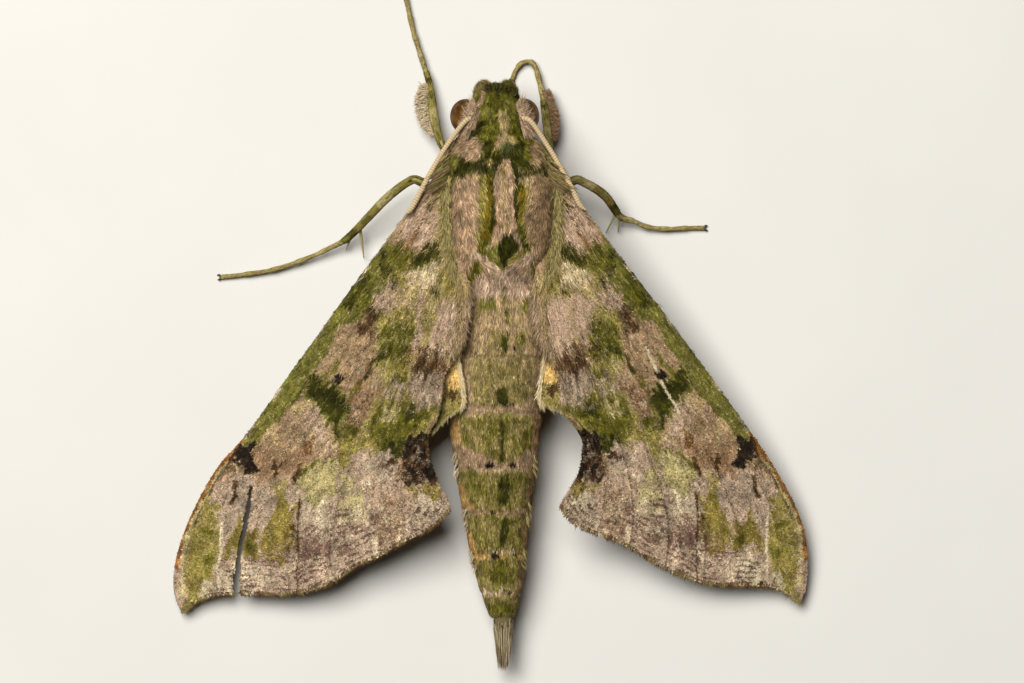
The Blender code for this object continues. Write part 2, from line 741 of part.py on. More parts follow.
def make_flank_locks(collection):
    """Small tufts that stand out along both flanks of the abdomen."""
    locks = []
    for i, (side, start, end) in enumerate(FLANK_LOCKS):
        path = []
        for row, stand in zip((start, (start + end) / 2, end), FLANK_LOCK_STANDS):
            radius = LOCK_TIP_RADIUS if row == end else FLANK_LOCK_RADIUS
            path.append((*flank_point(ABDOMEN_RINGS, row, side, stand), radius))
        locks.append(make_tube("flank_lock_%d" % i, path, collection, smooth=2, sides=1))
    return locks


def make_tail(collection, material):
    """The pencil of long scales at the tip of the abdomen."""
    root = ABDOMEN_RINGS[-1]
    centre = root[1] + TAIL_SHIFT
    chance = random.Random(TAIL_SEED)
    core_path = [
        (centre, TAIL_ROOT_ROW + reach, TAIL_HEIGHT, TAIL_ROOT_RADIUS * share)
        for reach, share in TAIL_CORE
    ]
    tail = make_tube("tail_tuft", core_path, collection, material)
    locks = []
    for i in range(TAIL_LOCK_COUNT):
        angle = 2 * math.pi * i / TAIL_LOCK_COUNT
        across = math.cos(angle) * TAIL_LOCK_SPREAD
        up = math.sin(angle) * TAIL_LOCK_SPREAD
        tip_row = TAIL_TIP_ROWS[0] + (TAIL_TIP_ROWS[1] - TAIL_TIP_ROWS[0]) * chance.random()
        if i == TAIL_LOCK_COUNT // 4:
            tip_row = TAIL_TIP_ROWS[1]
        start_row = TAIL_ROOT_ROW + TAIL_LOCK_START
        rows = (start_row, (start_row + tip_row) / 2, tip_row)
        path = []
        for row, (narrow, low) in zip(rows, TAIL_LOCK_NARROWING):
            at_tip = row == tip_row
            column = centre + across * narrow * STEPS_PER_MM
            height = TAIL_HEIGHT + up * low - (TAIL_TIP_DROOP if at_tip else 0.0)
            path.append((column, row, height, LOCK_TIP_RADIUS if at_tip else TAIL_LOCK_RADIUS))
        locks.append(make_tube("lock_%d" % i, path, collection, smooth=2, sides=1))
    return fuse(tail, locks)


def main():
    for old in list(bpy.data.objects):
        bpy.data.objects.remove(old, do_unlink=True)
    parts = new_collection("hawk_moth")
    cutters = new_collection("cutters")
    looks = {
        name: new_material(name, colour, EYE_ROUGHNESS if name == "eye" else SCALE_ROUGHNESS)
        for name, colour in COLOURS.items()
    }

    head_rings = rings_at_rows(HEAD_RINGS, even_rows(HEAD_RINGS, HEAD_RING_COUNT))
    thorax_rings = rings_at_rows(THORAX_RINGS, even_rows(THORAX_RINGS, THORAX_RING_COUNT))
    abdomen_rings = rings_at_rows(ABDOMEN_RINGS, abdomen_rows())
    grown_thorax = hide_cutter(loft("thorax_clear", thorax_rings, cutters, grow=GAP, relief=thorax_relief))
    abdomen_gap = GAP + ABDOMEN_CLEARANCE
    grown_abdomen = hide_cutter(loft("abdomen_clear", abdomen_rings, cutters, grow=abdomen_gap))
    grown_head = hide_cutter(loft("head_clear", head_rings, cutters, grow=GAP))

    loft("thorax", thorax_rings, parts, looks["thorax"], relief=thorax_relief)
    abdomen = loft("abdomen", abdomen_rings, parts, looks["abdomen"], relief=abdomen_relief)
    fuse(abdomen, make_flank_locks(parts))
    make_tail(parts, looks["tail"])

    sockets = []
    for name, place in EYES.items():
        make_eye(name, place, parts, looks["eye"])
        sockets.append(hide_cutter(make_eye(name + "_clear", place, cutters, None, grow=GAP)))
    cut(loft("head", head_rings, parts, looks["head"]), sockets)
    for name, column in PALP_COLUMNS.items():
        cut(make_palp(name, column, parts, looks["palp"]), [grown_head])
    for name, places in ANTENNAE.items():
        path = [(*place, radius) for place, radius in zip(places, ANTENNA_RADII)]
        feeler = make_tube(name, path, parts, looks["antenna"], smooth=ANTENNA_SMOOTH_STEPS)
        cut(feeler, [grown_head, *sockets])

    for name, path in LEGS.items():
        leg = make_tube(name, path, parts, looks["leg"])
        extras = [make_spur("%s_spur_%d" % (name, i), ends, parts) for i, ends in enumerate(SPURS[name])]
        if name in LEG_FRINGES:
            extras += make_leg_locks(name, parts)
        if extras:
            fuse(leg, extras)
        cut(leg, [grown_thorax])

    tear = make_slot("tear_cut", LEFT_TEAR, cutters)
    nick = make_slot("nick_cut", RIGHT_NICK, cutters)
    forewings = (
        ("forewing_left", (LEFT_COSTA, LEFT_OUTER, LEFT_INNER), tear),
        ("forewing_right", (RIGHT_COSTA, RIGHT_OUTER, RIGHT_INNER), nick),
    )
    for name, outline, slot in forewings:
        wing = make_wing(name, outline, FOREWING_VEINS, FOREWING_ROWS, forewing_height,
                         FOREWING_THICKNESS, CELL_END, parts, looks["forewing"])
        cut(wing, [slot, grown_thorax])
    hindwings = (
        ("hindwing_left", (LEFT_HIND_COSTA, LEFT_HIND_OUTER, LEFT_HIND_INNER)),
        ("hindwing_right", (RIGHT_HIND_COSTA, RIGHT_HIND_OUTER, RIGHT_HIND_INNER)),
    )
    for name, outline in hindwings:
        wing = make_wing(name, outline, HINDWING_VEINS, HINDWING_ROWS, hindwing_height,
                         HINDWING_THICKNESS, None, parts, looks["hindwing"])
        cut(wing, [grown_thorax, grown_abdomen])

    for part in parts.objects:
        part.data.shade_smooth()
        part.data.set_sharp_from_angle(angle=SHARP_ANGLE)


main()
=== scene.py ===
"""The looks of a hawk moth at rest: skin, scales, hair, eyes and markings.

Everything is placed on the same measuring grid as the solids: 12 steps to a
millimetre, columns to the right, rows towards the tail, heights in mm.
"""

import bpy
import numpy as np
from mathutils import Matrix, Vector


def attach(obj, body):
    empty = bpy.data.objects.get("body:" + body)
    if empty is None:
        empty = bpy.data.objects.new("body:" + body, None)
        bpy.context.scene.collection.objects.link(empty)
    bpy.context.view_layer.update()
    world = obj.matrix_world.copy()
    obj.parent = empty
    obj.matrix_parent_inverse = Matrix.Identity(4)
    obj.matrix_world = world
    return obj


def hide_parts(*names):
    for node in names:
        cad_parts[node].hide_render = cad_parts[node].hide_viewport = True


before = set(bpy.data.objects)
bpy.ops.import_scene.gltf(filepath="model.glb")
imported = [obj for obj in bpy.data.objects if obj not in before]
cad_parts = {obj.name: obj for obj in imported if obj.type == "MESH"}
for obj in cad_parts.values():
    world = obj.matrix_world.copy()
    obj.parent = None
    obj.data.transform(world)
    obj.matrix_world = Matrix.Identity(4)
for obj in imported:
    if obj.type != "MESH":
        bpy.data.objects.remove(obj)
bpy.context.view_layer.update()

MM = 0.001
STEPS_PER_MM = 12
STEP = MM / STEPS_PER_MM
GRID_COLUMN = 491.6
GRID_ROW = 325.3
VIEW_COLUMN = 512.0
VIEW_ROW = 341.5
VIEW_LEVEL = 5.0
VIEW_HEIGHT = 426.7
MIDLINE = 503.0
BODY = "root"

# Camera and light.
LENS = 180.0
SENSOR = 36.0
KEY_PLACE = (-0.13, 0.16, 0.46)
KEY_POWER = 4.6
KEY_SIZE = 0.3
SKY_STRENGTH = 0.46
FLOOR_COLOUR = (202, 199, 191)
HELD_BACK = 0.75
FLOOR_SIZE = 1.0

# Body: rings as (row, centre column, half width in steps, middle height, half height in mm).
BODY_RINGS = (
    (84.5, 495.5, 14.0, 6.5, 1.2), (88.0, 495.5, 19.5, 6.45, 1.65), (94.0, 496.0, 23.5, 6.4, 2.05),
    (103.0, 496.5, 27.0, 6.4, 2.4), (113.0, 497.0, 30.5, 6.4, 2.65), (124.0, 496.5, 34.5, 6.4, 2.8),
    (134.4, 495.5, 38.5, 6.4, 2.75), (138.0, 495.5, 40.5, 6.45, 2.85), (148.0, 496.0, 50.0, 6.5, 3.4),
    (162.0, 497.5, 57.0, 6.65, 3.95), (178.0, 499.5, 60.5, 6.75, 4.3), (198.0, 501.0, 60.5, 6.8, 4.45),
    (220.0, 501.5, 59.5, 6.75, 4.5), (245.0, 501.5, 58.0, 6.5, 4.35), (268.0, 501.0, 52.0, 6.1, 3.95),
    (290.0, 501.0, 43.5, 5.6, 3.35), (325.0, 500.0, 45.0, 5.2, 3.3), (370.0, 498.0, 48.0, 4.85, 3.25),
    (413.0, 495.5, 48.5, 4.55, 3.15), (467.0, 495.5, 42.5, 4.15, 2.85), (515.0, 497.0, 35.0, 3.75, 2.5),
    (554.0, 498.5, 29.5, 3.45, 2.1), (592.0, 501.0, 21.5, 3.15, 1.55), (621.0, 502.5, 12.5, 2.95, 0.95),
)
BODY_SQUARENESS = 2.4
BODY_ROWS = 300
BODY_SIDES = 120
COAT_DEPTHS = ((84.0, 0.16), (130.0, 0.22), (150.0, 0.3), (285.0, 0.32), (330.0, 0.22), (621.0, 0.14))

# How hair is combed: how far it turns, between which sides, and the rows where that fades in and out.
INWARD_LIE = 0.5
INWARD_SIDES = (10, 46)
INWARD_ROWS = ((165, 185), (228, 250))
RUMP_LIE = 0.9
RUMP_SIDES = (2, 27)
RUMP_ROWS = ((246, 256), (266, 273))
OUTWARD_LIE = 0.5
OUTWARD_SIDES = (8, 24)
OUTWARD_ROWS = ((95, 110), (155, 168))
FACE_ROW = 93
NECK_ROW = 142
WAIST_ROW = 297

# Rear edges of the abdomen's segments, the tegulae, the collar and the segments' lips.
SEGMENT_ENDS = (355.0, 410.0, 465.0, 511.0, 552.0, 590.0, 621.0)
TEGULA_ROWS = (158.0, 276.0)
TEGULA_SIDES = (21.0, 53.0)
TEGULA_RISE = 0.24
COLLAR_ROWS = (136.0, 158.0)
COLLAR_RISE = 0.12
LIP_START = 330
LIP_REACH = 9
LIP_RISE = 0.05
GROOVE_DEPTH = 0.03
RING_STEPS = 900

# Head.
EYES = {"eye_left": (465.5, 116.5, 6.1), "eye_right": (524.0, 116.0, 6.1)}
EYE_RADII = (1.28, 1.46, 1.58)
PALPS = {"palp_left": 484.0, "palp_right": 507.5}
PALP_SIZE = (9.2, 12.4, 1.62)
PALP_GREEN = {"palp_left": 0.4, "palp_right": 1.0}
PALP_ROW = 95.0
PALP_HEIGHT = 4.7
PALP_LIFT = 0.35
PALP_COLOURS = (("buff", 0.35), ("pale_pink", 0.3))
EYE_TONES = ((0.35, (52, 32, 6)), (0.68, (104, 70, 20)))
ANTENNA_RADII = (0.26, 0.22, 0.21, 0.22, 0.23, 0.22, 0.08)
ANTENNAE = {
    "antenna_left": ((477, 123, 7.7), (467, 120, 8.65), (448, 144, 8.6), (431, 172, 8.7),
                     (419, 195, 8.85), (411, 209, 8.8), (405, 214, 8.75)),
    "antenna_right": ((517, 123, 7.7), (529, 120, 8.65), (549, 148, 8.6), (566, 177, 8.7),
                      (575, 195, 8.85), (580, 205, 8.8), (586, 210, 8.75)),
}
ANTENNA_RINGS = 48
ANTENNA_SIDES = 16
ANTENNA_GROOVE = 0.72
BROW_COUNT = 1500
BROW_GAIN = 1.22
BROW_LENGTH = 13.0
BROW_REACH = {"eye_left": 4.5, "eye_right": 6.0}
BROW_COLOURS = (("olive", 0.22), ("pale_pink", 0.6), ("cream", 0.2))
FRONT_HAIRS = 460

# Wings: outlines on the grid.
LEFT_COSTA = (
    (448, 174), (431, 185), (411, 208), (385, 243), (345, 297), (300, 360),
    (245, 436), (220, 464), (199, 499), (183, 535), (175, 565), (174, 592), (184, 618),
)
LEFT_OUTER = (
    (184, 618), (198, 606), (217, 599), (255, 598), (295, 597), (330, 587),
    (356, 569), (378, 559), (405, 543), (433, 529), (451, 511),
)
LEFT_INNER = (
    (469, 288), (467, 312), (462, 338), (450, 364), (443, 380), (441, 400),
    (437, 418), (429, 432), (428, 446), (431, 464), (438, 482), (447, 499), (451, 511),
)
RIGHT_COSTA = (
    (552, 174), (567, 185), (584, 208), (608, 241), (660, 308), (700, 362), (745, 424),
    (772, 464), (791, 497), (803, 527), (808, 556), (806, 587), (799, 608),
)
RIGHT_OUTER = (
    (799, 608), (786, 598), (771, 591), (740, 589), (708, 587), (676, 577),
    (650, 563), (622, 546), (592, 534), (571, 523), (559, 507),
)
RIGHT_INNER = (
    (533, 288), (535, 312), (540, 338), (551, 362), (559, 378), (560, 396),
    (565, 413), (577, 424), (583, 436), (582, 458), (578, 475), (570, 489), (559, 507),
)
LEFT_HIND_COSTA = ((450, 282), (424, 330), (372, 402), (314, 470), (286, 503))
LEFT_HIND_OUTER = ((286, 503), (318, 508), (360, 488), (402, 458), (428, 438), (447, 420), (463, 408))
LEFT_HIND_INNER = ((452, 318), (456, 344), (461, 372), (465, 396), (463, 408))
RIGHT_HIND_COSTA = ((553, 282), (580, 330), (632, 400), (688, 466), (714, 497))
RIGHT_HIND_OUTER = ((714, 497), (684, 503), (644, 482), (606, 452), (581, 431), (562, 414), (540, 405))
RIGHT_HIND_INNER = ((551, 318), (547, 344), (542, 370), (538, 394), (540, 405))
LEFT_FOREWING = (LEFT_COSTA, LEFT_OUTER, LEFT_INNER)
RIGHT_FOREWING = (RIGHT_COSTA, RIGHT_OUTER, RIGHT_INNER)
LEFT_HINDWING = (LEFT_HIND_COSTA, LEFT_HIND_OUTER, LEFT_HIND_INNER)
RIGHT_HINDWING = (RIGHT_HIND_COSTA, RIGHT_HIND_OUTER, RIGHT_HIND_INNER)

# Wings: heights in mm, slopes, thickness, and grids.
WING_TOP = 9.0
WING_SIDE_SLOPE = 0.2
WING_REAR_SLOPE = 0.21
WING_REAR_BLEND = 30.0
WING_LEVEL_ROW = 390.0
WING_FLOOR = 1.0
WING_FLOOR_BLEND = 0.9
WING_INNER_SIDE = 3.0
ROOT_SWELLING = 0.6
ROOT_SWELLING_PLACE = (6.2, 318.0)
ROOT_SWELLING_SIZE = 2.6
COSTA_DROOP = 0.35
COSTA_DROOP_REACH = 0.05
HINDWING_BELOW = 0.92
WING_SURFACE = 0.17
WING_THICKNESS = 0.3
WING_EDGE_SHARE = 0.35
HOLLOW_FADE = 4
CELL_END = 0.47
WING_HALVES = 0.6
FOREWING_GRID = (180, 130)
FOREWING_END = 0.989
HINDWING_GRID = (120, 70)
HINDWING_END = 0.975
WING_RIPPLE = 0.05
WING_RIPPLE_SIZE = 26
VEIN_WIDTH = 0.009
VEIN_RISE = 0.09
VEIN_FADE = 0.01
CELL_WIDTH = 0.004
CELL_SIDES = ((0.12, 0.13), (0.53, 0.54))
VEIN_DARK = (0.58, 0.72)
VEIN_SHADE = {"left": 0.4, "right": 0.5}

# Veins as (share across, share along where it starts, share along where it ends), and tears as
# (column, row, half width in steps).
FOREWING_VEINS = ((0.05, 0.0, 0.66), (0.125, 0.0, 1.0), (0.264, CELL_END, 1.0), (0.39, CELL_END, 1.0),
                  (0.535, 0.0, 1.0), (0.69, 0.36, 1.0), (0.82, 0.26, 1.0), (0.945, 0.0, 1.0))
HINDWING_VEINS = ((0.1, 0.0, 1.0), (0.28, 0.4, 1.0), (0.46, 0.4, 1.0), (0.66, 0.0, 1.0), (0.86, 0.0, 1.0))
LEFT_TEAR = ((252, 481, 0.3), (248, 510, 1.6), (242, 541, 1.8), (237, 571, 2.2), (235, 604, 2.8))
RIGHT_NICK = ((762, 579, 0.5), (762, 600, 2.4))
TEAR_REACH = 9.0

# Legs: paths as (column, row, height in mm, radius in mm) from the body to the claw.
LEGS = {
    "foreleg_left": (
        (488, 182, 4.4, 0.55), (470, 172, 2.7, 0.6), (451, 156, 2.5, 0.5), (440, 140, 2.5, 0.42),
        (433, 112, 1.8, 0.49), (429.5, 84, 1.15, 0.36), (424, 66, 0.85, 0.3), (419, 50, 0.7, 0.3),
        (413, 30, 0.6, 0.28), (407, 3, 0.5, 0.27), (403, -14, 0.42, 0.26), (402, -22, 0.26, 0.25),
    ),
    "foreleg_right": (
        (516, 182, 4.4, 0.55), (534, 172, 2.7, 0.6), (548, 153, 2.5, 0.5), (548, 138, 2.5, 0.42),
        (545.5, 114, 1.8, 0.44), (542.5, 94, 1.15, 0.36), (539, 80, 0.85, 0.3), (536, 69, 0.7, 0.3),
        (531, 62, 0.62, 0.28), (522, 63, 0.55, 0.27), (516, 70, 0.45, 0.26), (512.5, 79, 0.26, 0.25),
    ),
    "midleg_left": (
        (486, 222, 4.2, 0.5), (468, 212, 3.2, 0.55), (442, 196, 4.2, 0.52), (421, 182, 5.0, 0.48),
        (410, 181, 4.9, 0.45), (386, 199, 3.7, 0.46), (350, 236, 1.7, 0.4), (330, 248, 1.1, 0.28),
        (303, 260, 0.75, 0.28), (272, 270, 0.55, 0.27), (240, 275, 0.42, 0.26), (221, 277, 0.26, 0.25),
    ),
    "midleg_right": (
        (518, 222, 4.2, 0.5), (536, 212, 3.2, 0.55), (560, 192, 4.4, 0.52), (573, 181, 5.2, 0.48),
        (583, 182, 5.1, 0.45), (604, 195, 3.6, 0.48), (620, 216, 1.7, 0.42), (633, 221, 1.1, 0.3),
        (648, 227, 0.75, 0.28), (668, 229, 0.55, 0.27), (688, 228, 0.42, 0.26), (704, 228, 0.26, 0.25),
    ),
    "hindleg_left": (
        (488, 258, 4.2, 0.5), (470, 268, 3.0, 0.55), (448, 286, 3.8, 0.52), (430, 303, 4.4, 0.46),
        (423, 318, 4.2, 0.44), (414, 352, 3.0, 0.45), (404, 394, 1.5, 0.38), (401, 412, 1.0, 0.28),
        (398, 436, 0.7, 0.28), (395, 466, 0.52, 0.27), (392, 496, 0.4, 0.26), (391, 516, 0.26, 0.25),
    ),
    "hindleg_right": (
        (516, 258, 4.2, 0.5), (534, 268, 3.0, 0.55), (556, 286, 3.8, 0.52), (574, 302, 4.4, 0.46),
        (582, 317, 4.2, 0.44), (594, 350, 3.0, 0.45), (606, 390, 1.5, 0.38), (610, 408, 1.0, 0.28),
        (614, 432, 0.7, 0.28), (618, 462, 0.52, 0.27), (622, 490, 0.4, 0.26), (624, 510, 0.26, 0.25),
    ),
}
SPURS = {
    "foreleg_left": (),
    "foreleg_right": (),
    "midleg_left": (((352, 234, 1.7), (346, 250, 0.75)), ((360, 228, 1.9), (364, 258, 0.7))),
    "midleg_right": (((617, 211, 2.0), (606, 233, 0.8)), ((620, 214, 1.7), (618, 232, 0.7))),
    "hindleg_left": (((405, 391, 1.5), (392, 414, 0.6)), ((404, 391, 1.5), (414, 414, 0.6))),
    "hindleg_right": (((605, 387, 1.5), (619, 410, 0.6)), ((606, 387, 1.5), (597, 410, 0.6))),
}
SPUR_RADIUS = 0.15
TARSUS_START = 0.58
TARSUS_JOINTS = 5
LEG_SPOTS = (("dark_green", 0.7, 91), ("straw", 0.7, 92), ("grass", 0.5, 94))
LEG_STEPS = 150.0
LEG_ROWS = 130
LEG_SIDES = 18

# Fringes of the fore shins: chains of roots, how far out they reach at each, and their colours.
FORELEG_FRINGES = {
    "foreleg_left": (((437, 136), (429, 124), (427, 112), (427, 98), (429, 84)),
                     (2.5, 8, 11, 13.5, 9), -1, ("cream", "cream")),
    "foreleg_right": (((550, 138), (550, 124), (549, 112), (547, 100), (545, 90)),
                      (6.5, 9.5, 9.0, 5.5, 2.5), 1, ("pink", "rose")),
}
FORELEG_FRINGE_HAIRS = 1200
SHORT_SHARE = 0.55
FORELEG_FRINGE_HEIGHTS = (2.1, 1.2)

# Abdomen: slivers of scales along the flanks as (side, first row, last row), and the tail's locks.
FLANK_SLIVERS = 60
FLANK_LOCKS = (
    (-1, 452.0, 478.0), (-1, 504.0, 532.0), (-1, 546.0, 571.0),
    (1, 454.0, 474.0), (1, 502.0, 527.0), (1, 548.0, 568.0),
)
TAIL_ROOT_ROW = 616.0
TAIL_TIP_ROWS = (640.0, 672.0)
TAIL_HEIGHT = 2.9
TAIL_COLUMN = 503.4
TAIL_SPREAD = 0.82
TAIL_LOCKS = 1300
TAIL_ROOT_LENGTH = 16

# The tail's core: row, drop below the tail's height in mm, and radius in mm.
TAIL_CORE = ((616, 0, 0.85), (638, 0, 0.62), (654, 0.05, 0.3), (662, 0.1, 0.06))


def tint(red, green, blue):
    """A colour as it is seen, from 0 to 255, turned into reflected light."""
    seen = np.array([red, green, blue]) / 255
    return np.where(seen <= 0.04045, seen / 12.92, ((seen + 0.055) / 1.055) ** 2.4)


SEEN = {
    "pink": (166, 136, 104),
    "pale_pink": (186, 156, 128),
    # A dimmer pink: the wing cell's own darker pink, and painted shade on the right side of the collar and
    # tegula.
    "dim_pink": (156, 128, 94),
    "rose": (146, 114, 82),
    "buff": (170, 148, 96),
    "straw": (182, 166, 110),
    "green": (92, 87, 24),
    "dark_green": (50, 49, 10),
    "grass": (110, 105, 44),
    "olive": (138, 124, 60),
    "gold": (98, 80, 12),
    "brown": (112, 80, 46),
    "mauve": (116, 88, 74),
    "umber": (68, 46, 24),
    "black": (34, 26, 19),
    "teal": (60, 64, 32),
    "lilac": (166, 144, 120),
    "orange": (220, 176, 104),
    "apricot": (182, 144, 86),
    "ochre": (150, 132, 76),
    "cream": (214, 194, 158),
    "rust": (138, 92, 44),
    "field": (176, 150, 124),
    "khaki": (132, 115, 52),
    "under": (160, 126, 88),
    "grey": (138, 124, 84),
    "moss": (112, 102, 44),
    "feeler": (212, 186, 142),
    "shin": (154, 137, 76),
}
PALETTE = {name: tint(*seen) * HELD_BACK for name, seen in SEEN.items()}

